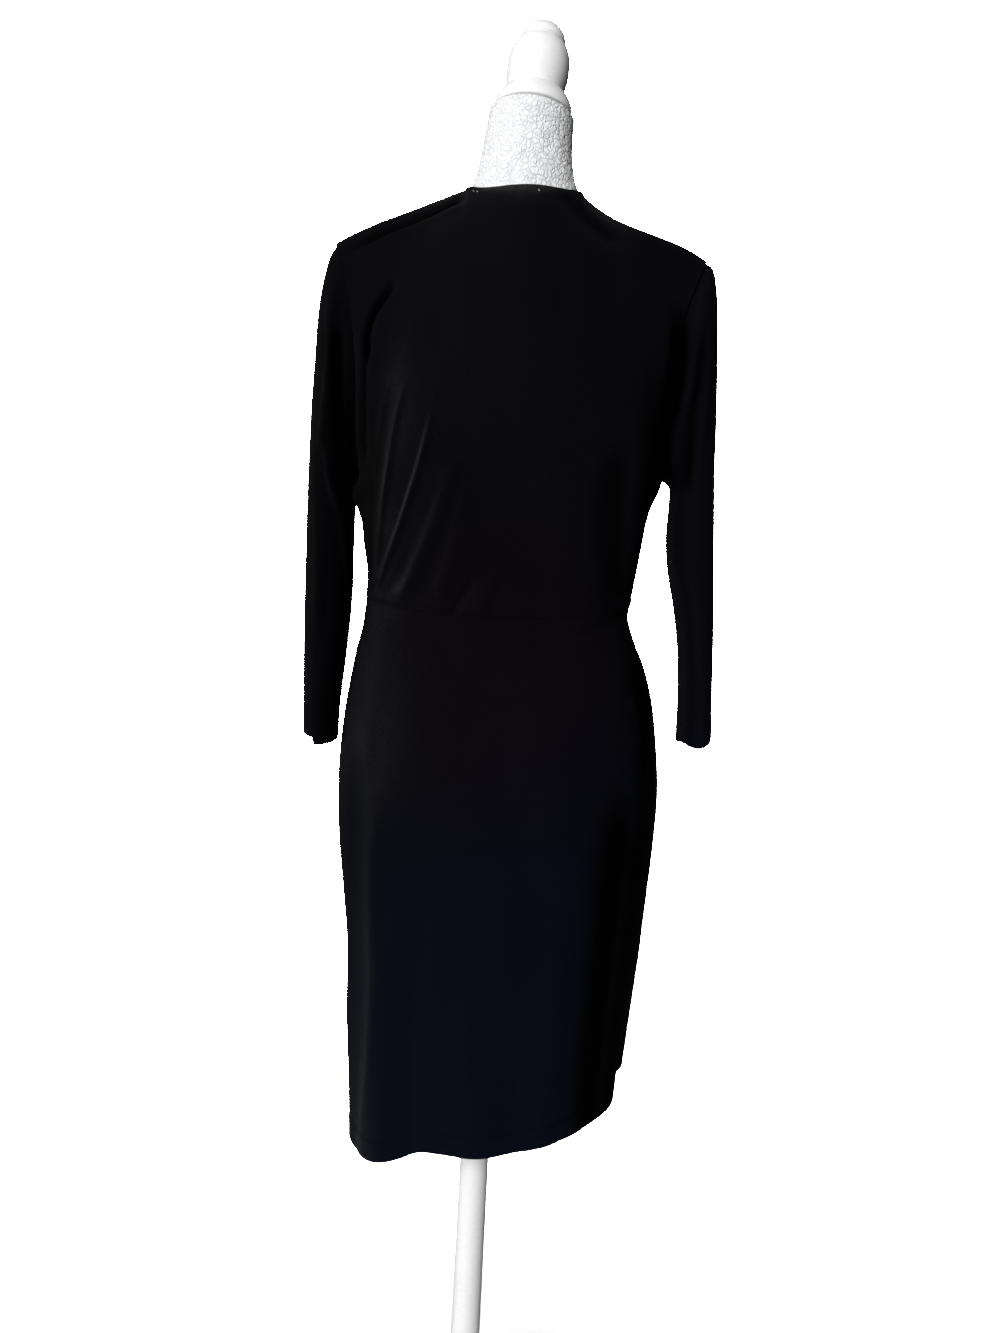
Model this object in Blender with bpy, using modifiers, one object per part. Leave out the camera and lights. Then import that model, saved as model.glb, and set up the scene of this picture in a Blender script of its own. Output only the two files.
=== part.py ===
"""A knee-length wrap dress of thin jersey, hanging on a limbless dress form.

Metres, +Z up. The origin is on the floor under the pole. The dress faces -Y, so its back
faces +Y and the wearer's left is +X. Tables are in millimetres and are scaled by MM.
"""

import math
from collections import namedtuple

import bpy
import bmesh
import numpy as np

MM = 0.001

# --- cloth ---------------------------------------------------------------------------------
CLOTH = 1.3  # wall of the jersey
SEAM = 0.5  # gap between two sewn pieces
SHOULDER_GAP = 1.3  # the same at the shoulder seams, where the walls lean to each other
LAYER = 2.2  # how far the under layer of the bodice lies inside the over layer
SKIRT_LAYER = 3.6  # the same on the skirt, which hangs looser
ROUNDNESS = 2.3  # exponent of the body's horizontal sections
BACK, FRONT = 1, -1  # the two faces, by the sign of their Y

# --- levels of the dress -------------------------------------------------------------------
WAIST_Z = 987  # waist seam at the side seams
WAIST_DIP = {BACK: 21, FRONT: 4}  # how far the seam drops at the middle of each face
WAIST_ROLL = 2.2  # the bodice blouses this far over the seam
WAIST_ROLL_AT = 0.05  # share of the way up to the underarm where it does
UNDERARM_Z = 1108
UNDERARM_TILT = 17  # the left underarm hangs this much lower, the right this much higher
SHOULDER_X = 192  # end of the dropped shoulder
SHOULDER_Z = 1350
SHOULDER_SAG = {1: 5, -1: 7.5}  # the seam hangs this much under a straight line
NECK_POINT_Z = 1413  # where the shoulder seam meets the neckline
NECK_ANGLE = 15  # the section angle, in degrees, at which the shoulder seam ends
NECK_BACK_Z = 1396
NECK_BACK_Y = 53
SHOULDER_ROUND = 2.2  # exponent of the yoke's turn into the shoulder seam
ARMHOLE_REACH = {BACK: 66, FRONT: 60}
ARMHOLE_BOW = 16  # how far the armhole curves in between underarm and shoulder
ARMHOLE_SQUARE = 0.45  # exponent of its reach: the smaller, the squarer its ends

# Sections of the body, from hem to underarm: reach from the middle to each side.
Section = namedtuple("Section", "z left right back front")
BODY = [
    Section(420, 131, 144, 96, 90),
    Section(490, 135, 147, 98, 91),
    Section(560, 140, 153, 101, 93),
    Section(630, 143, 159, 106, 96),
    Section(690, 150, 163, 112, 99),
    Section(750, 157, 166, 119, 102),
    Section(800, 159, 167, 122, 104),
    Section(850, 157, 163, 118, 104),
    Section(900, 152, 155, 106, 101),
    Section(930, 148, 146, 97, 98),
    Section(955, 143, 135, 89, 95),
    Section(975, 141, 129, 84, 93),
    Section(990, 140, 130, 84, 93),
    Section(1010, 140, 132, 87, 96),
    Section(1040, 145, 136, 94, 102),
    Section(1056, 147, 138, 98, 106),
    Section(1071, 152, 140, 101, 110),
    Section(1087, 160, 144, 104, 114),
    Section(1105, 162, 152, 107, 117),
    Section(1122, 162, 158, 109, 119),
    Section(1130, 162, 163, 110, 120),
]

# Above the underarm: share of the way to the top, reach at the middle, and how square it is.
Yoke = namedtuple("Yoke", "share back front square")
YOKE = [
    Yoke(0.00, 107, 117, 2.3),
    Yoke(0.15, 114, 125, 2.0),
    Yoke(0.30, 119, 123, 1.8),
    Yoke(0.50, 121, 112, 1.7),
    Yoke(0.70, 121, 103, 1.7),
    Yoke(1.00, 120, 97, 1.7),
]

# Hem height round the skirt, by section angle: -90 is the wearer's right side, 90 the left.
Hem = namedtuple("Hem", "angle back front")
HEM = [
    Hem(-90, 517, 517),
    Hem(-75, 507, 507),
    Hem(-60, 487, 498),
    Hem(-45, 474, 491),
    Hem(-30, 464, 484),
    Hem(-15, 457, 476),
    Hem(0, 449, 468),
    Hem(10, 452, 463),
    Hem(20, 455, 458),
    Hem(30, 444, 452),
    Hem(45, 432, 444),
    Hem(60, 427, 437),
    Hem(75, 427, 431),
    Hem(90, 428, 428),
]

# Flutes of the skirt: height at the hem, fading out towards the top level.
Flute = namedtuple("Flute", "face angle width height top")
FLUTE_FOOT_Z = 440  # level where the flutes are full
FLUTES = [
    Flute(BACK, 41, 10, 8, 840),
    Flute(BACK, 5, 8, 6, 700),
    Flute(BACK, -21, 7, 5, 640),
    Flute(BACK, -62, 9, 7, 760),
    Flute(BACK, -76, 6, -17, 640),
    Flute(FRONT, -66, 11, 5, 760),
    Flute(FRONT, -34, 10, -5, 700),
    Flute(FRONT, -6, 11, 6, 780),
    Flute(FRONT, 26, 9, -4, 680),
    Flute(FRONT, 52, 11, 6, 760),
]

# Folds of the bodice and sleeves, as curves through three places seen from behind or ahead.
Fold = namedtuple("Fold", "face start middle end width height")
FOLDS = [
    # Drawn to the wearer's left side of the waist.
    Fold(BACK, (83, 1165), (104, 1068), (130, 985), 10, 5.0),
    Fold(BACK, (60, 1125), (78, 1045), (106, 984), 11, 4.0),
    Fold(BACK, (112, 1185), (119, 1110), (127, 1005), 8, 3.0),
    Fold(BACK, (30, 1010), (38, 990), (48, 973), 10, -2.5),
    # Beside the armholes.
    Fold(BACK, (127, 1290), (147, 1222), (143, 1122), 10, -6.0),
    Fold(BACK, (-138, 1290), (-150, 1215), (-146, 1140), 10, -5.0),
    Fold(BACK, (-106, 1140), (-103, 1085), (-113, 995), 14, -4.5),
    # Down the limp sleeves.
    Fold(BACK, (186, 1300), (180, 1215), (187, 1135), 9, 5.0),
    Fold(BACK, (187, 1135), (172, 1070), (165, 990), 9, 4.0),
    Fold(BACK, (-186, 1292), (-176, 1215), (-168, 1120), 9, 5.0),
    Fold(BACK, (-192, 1255), (-184, 1180), (-182, 1100), 9, -4.0),
    # The gathers of the wrap, drawn to the same place in front.
    Fold(FRONT, (40, 1125), (82, 1052), (120, 996), 10, 4.5),
    Fold(FRONT, (-15, 1105), (48, 1032), (112, 990), 11, 4.0),
    Fold(FRONT, (-70, 1078), (10, 1016), (96, 987), 11, 3.5),
    Fold(FRONT, (142, 1285), (150, 1215), (146, 1135), 10, -5.0),
    Fold(FRONT, (-142, 1285), (-150, 1215), (-146, 1145), 10, -5.0),
    Fold(FRONT, (187, 1290), (180, 1200), (178, 1060), 9, 4.0),
    Fold(FRONT, (-187, 1290), (-180, 1200), (-182, 1060), 9, 4.0),
]

FOLD_IN = 0.25  # share of a fold's length over which it rises
FOLD_OUT = 0.2  # the same where it fades, half of it past the end
SEAM_FADE = 11  # folds and flutes die out this many degrees before a side seam
TOP_FADE = 0.1  # and this share of the height before the shoulder seam

# Free edge of each front bodice: how far past the middle it is at each share of the height.
# Heights 0 to 1 run from waist seam to underarm, 1 to 2 from underarm to the neck point.
WrapEdge = namedtuple("WrapEdge", "height angle")
WRAP_EDGE = [
    WrapEdge(0.00, 68),
    WrapEdge(0.30, 40),
    WrapEdge(0.60, 21),
    WrapEdge(1.00, 7),
    WrapEdge(1.35, -3),
    WrapEdge(1.65, -9),
    WrapEdge(2.00, -NECK_ANGLE),
]
SKIRT_OVER_END = 48  # section angle where the over layer of the skirt ends, left of the middle
SKIRT_UNDER_END = -28
CORNER_RISE = 34  # the rounded lower corner of the over layer
CORNER_SHARE = 0.16  # share of the layer's width that the corner takes

# Rings of the sleeves: the outer and inner end of each ring on either side, its reach back
# and front, how far its middle bows in, and how its wide way turns from fore-and-aft.
Ring = namedtuple("Ring", "out_z in_z left_out left_in right_out right_in back front bow twist")
SLEEVE = [
    Ring(1337, 1091, 198.0, 163.0, 198.0, 164.0, 67, 61, 12, 0.00),
    Ring(1312, 1090, 203.0, 163.0, 202.5, 165.0, 67, 60, 8, 0.00),
    Ring(1278, 1088, 206.0, 162.5, 204.5, 166.5, 65, 58, 4, 0.00),
    Ring(1230, 1085, 208.0, 162.0, 206.5, 168.0, 61, 55, 2, 0.02),
    Ring(1182, 1079, 210.0, 161.5, 208.5, 169.0, 57, 52, 0, 0.04),
    Ring(1132, 1068, 210.5, 161.0, 211.0, 169.5, 54, 50, 0, 0.06),
    Ring(1080, 1048, 210.0, 160.5, 213.0, 170.5, 52, 49, 0, 0.07),
    Ring(1030, 1020, 208.5, 159.5, 215.0, 174.0, 51, 48, 0, 0.08),
    Ring(980, 976, 207.0, 159.0, 216.5, 181.5, 50, 47, 0, 0.09),
    Ring(930, 930, 205.5, 163.0, 218.0, 187.0, 49, 46, 0, 0.10),
    Ring(880, 882, 203.5, 167.0, 219.5, 190.0, 48, 46, 0, 0.11),
    Ring(842, 843, 202.0, 168.0, 221.0, 191.5, 48, 46, 0, 0.12),
]
CUFF_DROP = {1: 7, -1: -5}  # how much lower the cuff of each side hangs
ELBOW_Z = 1060
FOREARM = 200  # length below the elbow over which the drop comes in
TILT_LOW_Z = 900  # the sleeves follow the underarm's tilt from here up
TILT_HIGH_Z = 1200
SLEEVE_ROUND = 0.9  # exponent of a ring's reach
SLEEVE_HEAD = 20  # drop from the shoulder over which the sleeve's folds come in
SLEEVE_CLEAR = 0.4  # extra gap between the first ring and the armhole, at the shoulder

# --- dress form ----------------------------------------------------------------------------
FormRing = namedtuple("FormRing", "z middle side back front square rise")
FORM = [
    FormRing(700, 0, 116, 66, 62, 2.20, 0),
    FormRing(704, 0, 129, 82, 74, 2.20, 0),
    FormRing(716, 0, 139, 96, 82, 2.20, 0),
    FormRing(745, 0, 147, 108, 89, 2.20, 0),
    FormRing(790, 0, 150, 115, 94, 2.20, 0),
    FormRing(830, 0, 149, 113, 95, 2.20, 0),
    FormRing(870, 0, 143, 102, 93, 2.20, 0),
    FormRing(920, 0, 131, 86, 87, 2.20, 0),
    FormRing(965, 0, 122, 76, 83, 2.20, 0),
    FormRing(1000, 0, 121, 76, 84, 2.20, 0),
    FormRing(1040, 0, 126, 84, 91, 2.20, 0),
    FormRing(1080, 0, 133, 95, 102, 2.20, 0),
    FormRing(1120, 0, 140, 104, 112, 2.20, 0),
    FormRing(1160, 0, 145, 109, 116, 2.10, 0),
    FormRing(1200, 0, 148, 111, 110, 2.00, 0),
    FormRing(1240, 0, 153, 110, 100, 2.00, 0),
    FormRing(1280, 0, 160, 105, 90, 1.85, 0),
    FormRing(1315, 0, 166, 95, 78, 1.70, 0),
    FormRing(1340, 0, 169, 84, 66, 1.55, 0),
    FormRing(1356, 0, 165, 73, 54, 1.45, 0),
    FormRing(1370, 0, 133, 64, 47, 1.45, 0),
    FormRing(1384, 0, 101, 56, 43, 1.50, 0),
    FormRing(1396, 0, 76, 48, 42, 1.55, 0),
    FormRing(1405, 0, 61, 44, 41, 1.65, 0),
    FormRing(1417, 0, 55, 43, 40, 1.80, 0),
    FormRing(1445, 0, 49.5, 42.5, 41, 2.00, 0),
    FormRing(1470, -1, 46.5, 43, 43, 2.00, 0.03),
    FormRing(1497, -3, 45, 43, 43, 2.00, 0.079),
]

# --- cap, finial and stand -----------------------------------------------------------------
KNOB_LEAN = 4.5  # degrees to the wearer's right
CAP_SEAT = (-3.5, 0, 1497.2)
CAP_PROFILE = [(36, 14), (40, 11.5), (41.5, 8), (41.5, 4), (40, 1.5), (36, 0)]
KNOB_PROFILE = [
    (0, 86),
    (9, 84.8),
    (17, 80.5),
    (22.5, 73),
    (24.6, 65),
    (24.2, 60.5),
    (26.6, 58.5),
    (30.3, 50),
    (32.6, 38),
    (33.0, 25),
    (31.6, 12),
    (28.5, 3),
    (26, 0),
]
KNOB_SEAT = 14.3  # height of the finial's foot above the cap's foot
POLE_RADIUS = 15
BASE_PROFILE = [
    (0, 5),
    (15.4, 5),
    (15.4, 46),
    (22, 46),
    (25, 43),
    (26, 34),
    (31, 26),
    (60, 20.5),
    (150, 14),
    (162, 11),
    (165, 7),
    (165, 2),
    (163, 0),
    (0, 0),
]
POLE_FOOT_Z = 5.3

BACK_COLUMNS = 24
POLE_SIDES = 32
NECK_ANGLES = [0, 5, 9, 12, 14]  # closer columns where the neckline turns into the shoulder
SHOULDER_COLUMNS = 10
FRONT_COLUMNS = 17
SKIRT_ROWS = 16
RING_POINTS = 24
FORM_POINTS = 36
TURNED_STEPS = 36
CURVE_STEPS = 13  # places along a fold at which its distance is taken
BODICE_HEIGHTS = [0, 0.05, 0.12, 0.27, 0.45, 0.65, 0.85, 1.0]
YOKE_HEIGHTS = [1.09, 1.2, 1.33, 1.47, 1.61, 1.74, 1.85, 1.93, 1.98, 2.0]


def through(value, rows, key, column):
    """A smooth curve through a table's column, read at this value of its key."""
    keys = [getattr(row, key) for row in rows]
    heights = [getattr(row, column) for row in rows]
    if value <= keys[0]:
        return heights[0]
    if value >= keys[-1]:
        return heights[-1]
    i = next(n for n in range(len(keys) - 1) if value <= keys[n + 1])
    slopes = np.gradient(heights, keys)
    span = keys[i + 1] - keys[i]
    t = (value - keys[i]) / span
    start = heights[i] * (2 * t**3 - 3 * t**2 + 1) + span * slopes[i] * (t**3 - 2 * t**2 + t)
    return start + heights[i + 1] * (3 * t**2 - 2 * t**3) + span * slopes[i + 1] * (t**3 - t**2)


def mix(a, b, t):
    return a + (b - a) * t


def bell(distance, width):
    return math.exp(-((distance / width) ** 2))


def ease(t):
    t = min(max(t, 0.0), 1.0)
    return t * t * (3 - 2 * t)


def reach_across(angle):
    """How far across a section this angle lies, from -1 at the right side to 1 at the left."""
    s = math.sin(math.radians(angle))
    return math.copysign(abs(s) ** (2 / ROUNDNESS), s)


def reach_out(angle, square=ROUNDNESS):
    return max(math.cos(math.radians(angle)), 0.0) ** (2 / square)


NECK_X = SHOULDER_X * reach_across(NECK_ANGLE)


def side_of(angle):
    return "left" if angle >= 0 else "right"


def waist_z(face, angle):
    return WAIST_Z - WAIST_DIP[face] * reach_out(angle)


def underarm_z(angle):
    return UNDERARM_Z - UNDERARM_TILT * math.sin(math.radians(angle))


def flute_at(face, angle, z):
    total = 0.0
    for flute in FLUTES:
        if flute.face == face:
            grown = ease((flute.top - z) / (flute.top - FLUTE_FOOT_Z))
            total += flute.height * grown * bell(angle - flute.angle, flute.width)
    return total


def fold_at(face, x, z, hollows_only=False):
    """The height of the folds here: each is soft, runs along a curve and fades at its ends."""
    total = 0.0
    for fold in FOLDS:
        if fold.face != face or (hollows_only and fold.height > 0):
            continue
        distance, along = math.inf, 0
        for t in np.linspace(0, 1, CURVE_STEPS):
            cx, cz = curve_point(fold, t)
            distance, along = min((distance, along), (math.hypot(x - cx, z - cz), t))
        fade = ease(along / FOLD_IN) * ease((1 + FOLD_OUT / 2 - along) / FOLD_OUT)
        total += fold.height * fade * bell(distance, fold.width)
    return total


def curve_point(fold, t):
    """A place on the parabola through a fold's start, middle and end."""
    weights = (2 * (t - 0.5) * (t - 1), 4 * t * (1 - t), 2 * t * (t - 0.5))
    places = (fold.start, fold.middle, fold.end)
    return (
        sum(w * p[0] for w, p in zip(weights, places)),
        sum(w * p[1] for w, p in zip(weights, places)),
    )


def tube_place(face, angle, z, depth_z):
    """A point of the body's surface below the underarm."""
    across = through(z, BODY, "z", side_of(angle)) * reach_across(angle)
    depth = through(depth_z, BODY, "z", "back" if face == BACK else "front")
    return np.array((across, face * (SEAM / 2 + depth * reach_out(angle)), z))


def skirt_place(face, angle, share):
    """share runs from 0 at the waist seam to 1 at the hem."""
    hem = through(angle, HEM, "angle", "back" if face == BACK else "front")
    z = mix(waist_z(face, angle) - SEAM / 2, hem, share)
    return tube_place(face, angle, z, z)


def armhole_place(side, face, share):
    """The armhole's edge, from the underarm at 0 to the end of the shoulder at 1."""
    open_by = 4 * share * (1 - share)
    low_z = underarm_z(90 * side)
    low_x = through(low_z, BODY, "z", side_of(side))
    x = mix(low_x, SHOULDER_X, share) - ARMHOLE_BOW * open_by
    depth = ARMHOLE_REACH[face] * open_by**ARMHOLE_SQUARE
    return np.array((side * x, face * (SEAM / 2 + depth), mix(low_z, SHOULDER_Z, share)))


def top_of(face, x):
    """Depth and height of the neckline and the shoulder seam above this place."""
    beyond = abs(x) - NECK_X
    if beyond >= 0:
        share = beyond / (SHOULDER_X - NECK_X)
        sag = SHOULDER_SAG[1 if x > 0 else -1] * 27 / 4 * share * (1 - share) ** 2
        return 0.0, mix(NECK_POINT_Z, SHOULDER_Z, share) - sag
    if face == FRONT:
        return 0.0, NECK_POINT_Z
    inside = (x / NECK_X) ** 2
    return NECK_BACK_Y * math.sqrt(1 - inside), mix(NECK_BACK_Z, NECK_POINT_Z, inside)


def yoke_place(face, angle, share):
    """A point above the underarm: share is 0 there and 1 at the shoulder seam."""
    edge = armhole_place(1 if angle >= 0 else -1, face, share)
    across = abs(edge[0]) * reach_across(angle)
    top_depth, top_z = top_of(face, across)
    middle = through(share, YOKE, "share", "back" if face == BACK else "front")
    rounding = math.sqrt(1 - share**SHOULDER_ROUND)
    depth = mix(top_depth, middle, rounding)
    square = through(share, YOKE, "share", "square")
    edge_depth = abs(edge[1])
    y = edge_depth + (depth + SEAM / 2 - edge_depth) * reach_out(angle, square)
    y += (SHOULDER_GAP - SEAM) / 2 * share**6
    return np.array((across, face * y, mix(underarm_z(angle), top_z, share)))


def bodice_place(face, angle, height):
    """height is 0 at the waist seam, 1 at the underarm and 2 at the shoulder seam."""
    if height > 1:
        return yoke_place(face, angle, height - 1)
    low = waist_z(face, angle) + SEAM / 2
    z = mix(low, underarm_z(angle), height)
    return tube_place(face, angle, z, mix(WAIST_Z, UNDERARM_Z, height))


def outward(place, face, angle, height):
    """The surface's direction, from its neighbours across and along, just off its ends."""
    step = 0.01
    a = min(max(angle, -89), 89)
    h = min(height, 2 - 4 * step)
    across = place(face, a + 1, h) - place(face, a - 1, h)
    along = place(face, a, h + step) - place(face, a, max(h - step, 0))
    normal = np.cross(across, along)
    if normal[1] * face < 0:
        normal = -normal
    return normal / np.linalg.norm(normal)


def skirt_cloth(face, angle, share, inset=0.0):
    place = skirt_place(face, angle, share)
    out = flute_at(face, angle, place[2]) * ease((90 - abs(angle)) / SEAM_FADE) - inset
    return place + outward(skirt_place, face, angle, share) * out


def bodice_cloth(face, angle, height, inset=0.0):
    place = bodice_place(face, angle, height)
    kept = ease((90 - abs(angle)) / SEAM_FADE) * ease((2 - height) / TOP_FADE)
    roll = WAIST_ROLL * bell(height - WAIST_ROLL_AT, WAIST_ROLL_AT)
    out = fold_at(face, place[0], place[2], inset > 0) * kept + roll - inset
    return place + outward(bodice_place, face, angle, height) * out


def sleeve_ring(side, ring):
    """One ring of a sleeve, starting at the underarm and going round by the back."""
    out_x, in_x = (ring.left_out, ring.left_in) if side > 0 else (ring.right_out, ring.right_in)
    tilted = ease((ring.out_z - TILT_LOW_Z) / (TILT_HIGH_Z - TILT_LOW_Z))
    raised = (underarm_z(90 * side) - underarm_z(90)) * tilted
    dropped = CUFF_DROP[side] * ease((ELBOW_Z - ring.out_z) / FOREARM)
    points = []
    for n in range(RING_POINTS):
        turn = 2 * math.pi * n / RING_POINTS
        share = (1 - math.cos(turn)) / 2
        swing = math.sin(turn)
        z = mix(ring.in_z + raised, ring.out_z, share) - dropped
        reach = ring.back if swing > 0 else ring.front
        y = math.copysign(reach * abs(swing) ** SLEEVE_ROUND, swing)
        x = mix(in_x, out_x, share) - ring.bow * swing**2 - ring.twist * y
        face = BACK if swing > 0 else FRONT
        bulge = fold_at(face, side * x, z) * abs(swing)
        bulge *= ease((SHOULDER_Z - ring.out_z) / SLEEVE_HEAD)
        points.append((side * x, y + face * bulge, z))
    return points


def armhole_ring(side):
    """The sleeve's first ring, along the armhole and just clear of the bodice's wall."""
    points = []
    for n in range(RING_POINTS):
        turn = 2 * math.pi * n / RING_POINTS
        face = BACK if math.sin(turn) >= 0 else FRONT
        share = (1 - math.cos(turn)) / 2
        place = armhole_place(side, face, share)
        if n in (0, RING_POINTS // 2):
            place[1] = 0
        clear = SEAM + mix(CLOTH, SLEEVE_CLEAR, ease(4 * share))
        points.append(place + np.array((side * clear, 0, 0)))
    return points


# --- Blender objects -----------------------------------------------------------------------


def clear_scene():
    for old in list(bpy.data.objects):
        bpy.data.objects.remove(old, do_unlink=True)


def material(name, colour, roughness):
    made = bpy.data.materials.new(name)
    made.use_nodes = True
    shader = made.node_tree.nodes["Principled BSDF"]
    shader.inputs["Base Color"].default_value = (*colour, 1)
    shader.inputs["Roughness"].default_value = roughness
    shader.inputs["Metallic"].default_value = 0
    return made


def object_of(name, mesh, look):
    made = bpy.data.objects.new(name, mesh)
    made.data.materials.append(look)
    parts.objects.link(made)
    return made


def grid_mesh(name, rows, closed):
    """Quads between rows of points, each row closed into a ring or open."""
    count = len(rows[0])
    points = [tuple(np.asarray(p) * MM) for row in rows for p in row]
    faces = []
    for r in range(len(rows) - 1):
        for c in range(count if closed else count - 1):
            d = (c + 1) % count
            faces.append((r * count + c, r * count + d, (r + 1) * count + d, (r + 1) * count + c))
    mesh = bpy.data.meshes.new(name)
    mesh.from_pydata(points, [], faces)
    return mesh


def cloth_object(name, rows, look, closed=False):
    made = object_of(name, grid_mesh(name, rows, closed), look)
    made.data.shade_smooth()
    wall = made.modifiers.new("wall", "SOLIDIFY")
    wall.thickness = CLOTH * MM
    wall.offset = 0
    return made


def solid_loft(name, rings, look):
    """Closed rings joined one above the next, with flat ends."""
    mesh = grid_mesh(name, rings, True)
    shape = bmesh.new()
    shape.from_mesh(mesh)
    shape.verts.ensure_lookup_table()
    count = len(rings[0])
    shape.faces.new(shape.verts[:count])
    shape.faces.new(shape.verts[-count:])
    bmesh.ops.recalc_face_normals(shape, faces=shape.faces[:])
    shape.to_mesh(mesh)
    shape.free()
    made = object_of(name, mesh, look)
    made.data.shade_smooth()
    made.data.set_sharp_from_angle(angle=math.radians(40))
    return made


def turned(name, profile, look):
    """A profile of (radius, height), from top to bottom, turned about Z."""
    points = [(r * MM, 0, z * MM) for r, z in profile]
    edges = [(n, n + 1) for n in range(len(points) - 1)]
    mesh = bpy.data.meshes.new(name)
    mesh.from_pydata(points, edges, [])
    made = object_of(name, mesh, look)
    screw = made.modifiers.new("turn", "SCREW")
    screw.steps = TURNED_STEPS
    screw.render_steps = TURNED_STEPS
    screw.use_merge_vertices = True
    screw.merge_threshold = 0.00001
    screw.use_smooth_shade = True
    return made


def build_bodice(jersey):
    heights = BODICE_HEIGHTS + YOKE_HEIGHTS
    half = NECK_ANGLES + list(np.linspace(NECK_ANGLE, 90, SHOULDER_COLUMNS + 1))
    angles = [-a for a in half[:0:-1]] + half
    rows = [[bodice_cloth(BACK, a, h) for a in angles] for h in heights]
    cloth_object("bodice_back", rows, jersey)
    for side, name, inset in ((-1, "bodice_front_right", 0), (1, "bodice_front_left", LAYER)):
        rows = []
        for h in heights:
            edge = through(h, WRAP_EDGE, "height", "angle")
            angles = np.linspace(-90, edge, FRONT_COLUMNS + 1)
            if side > 0:
                angles = -angles
            rows.append([bodice_cloth(FRONT, a, h, inset) for a in angles])
        cloth_object(name, rows, jersey)


def build_skirt(jersey):
    shares = [n / SKIRT_ROWS for n in range(SKIRT_ROWS + 1)]
    angles = np.linspace(-90, 90, BACK_COLUMNS + 1)
    rows = [[skirt_cloth(BACK, a, s) for a in angles] for s in shares]
    cloth_object("skirt_back", rows, jersey)

    angles = np.linspace(-90, SKIRT_OVER_END, FRONT_COLUMNS + 1)
    rows = [[] for s in shares]
    for n, angle in enumerate(angles):
        past = min(max(n / FRONT_COLUMNS - 1 + CORNER_SHARE, 0) / CORNER_SHARE, 1)
        long = WAIST_Z - through(angle, HEM, "angle", "front")
        kept = 1 - CORNER_RISE / long * (1 - math.sqrt(1 - past**2))
        for row, s in zip(rows, shares):
            row.append(skirt_cloth(FRONT, angle, s * kept))
    cloth_object("skirt_front_right", rows, jersey)

    angles = np.linspace(90, SKIRT_UNDER_END, FRONT_COLUMNS - 2)
    rows = [[skirt_cloth(FRONT, a, s, SKIRT_LAYER) for a in angles] for s in shares]
    cloth_object("skirt_front_left", rows, jersey)


def build_sleeves(jersey):
    for side, name in ((1, "sleeve_left"), (-1, "sleeve_right")):
        rings = [armhole_ring(side)] + [sleeve_ring(side, ring) for ring in SLEEVE]
        cloth_object(name, rings, jersey, closed=True)


def build_form(cover, lacquer):
    rings = []
    for ring in FORM:
        points = []
        for n in range(FORM_POINTS):
            turn = 2 * math.pi * n / FORM_POINTS
            c, s = math.cos(turn), math.sin(turn)
            depth = ring.back if s > 0 else ring.front
            points.append(
                (
                    ring.middle + ring.side * math.copysign(abs(c) ** (2 / ring.square), c),
                    depth * math.copysign(abs(s) ** (2 / ring.square), s),
                    ring.z + ring.rise * ring.side * c,
                )
            )
        rings.append(points)
    solid_loft("form_torso", rings, cover)

    tilt = math.radians(-KNOB_LEAN)
    cap = turned("neck_cap", [(0, CAP_PROFILE[0][1])] + CAP_PROFILE + [(0, 0)], lacquer)
    cap.location = [v * MM for v in CAP_SEAT]
    knob = turned("finial", KNOB_PROFILE + [(0, 0)], lacquer)
    rise = KNOB_SEAT * MM
    knob.location = cap.location
    knob.location.x += math.sin(tilt) * rise
    knob.location.z += math.cos(tilt) * rise
    for piece in (cap, knob):
        piece.rotation_euler.y = tilt


def build_stand(paint):
    bpy.ops.mesh.primitive_cylinder_add(vertices=POLE_SIDES, radius=POLE_RADIUS * MM)
    pole = bpy.context.object
    pole.name = "stand_pole"
    low = POLE_FOOT_Z
    high = FORM[0].z - SEAM
    pole.dimensions.z = (high - low) * MM
    pole.location.z = (high + low) / 2 * MM
    bpy.ops.object.transform_apply(location=False, rotation=False, scale=True)
    pole.data.materials.append(paint)
    for old in pole.users_collection:
        old.objects.unlink(pole)
    parts.objects.link(pole)
    turned("stand_base", BASE_PROFILE, paint)


clear_scene()
parts = bpy.data.collections.new("wrap_dress_on_dress_form")
bpy.context.scene.collection.children.link(parts)
black_jersey = material("black_jersey", (0.006, 0.006, 0.008), 0.62)
form_cover = material("form_cover", (0.82, 0.82, 0.83), 0.8)
white_lacquer = material("white_lacquer", (0.86, 0.86, 0.86), 0.4)
stand_paint = material("stand_paint", (0.84, 0.84, 0.84), 0.5)
build_bodice(black_jersey)
build_skirt(black_jersey)
build_sleeves(black_jersey)
build_form(form_cover, white_lacquer)
build_stand(stand_paint)
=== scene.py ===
"""The looks of a black jersey wrap dress on a white dress form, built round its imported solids.

Sizes are in millimetres and are scaled by MM. +Z is up, the dress faces -Y, and the wearer's
left is +X. The cloth repeats the sections, rings and main folds of the solids, and adds finer
folds, turned edges, hems and stitches to them.
"""

import math
from collections import namedtuple

import bmesh
import bpy
import numpy as np
from mathutils import Matrix, Vector, noise


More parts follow.
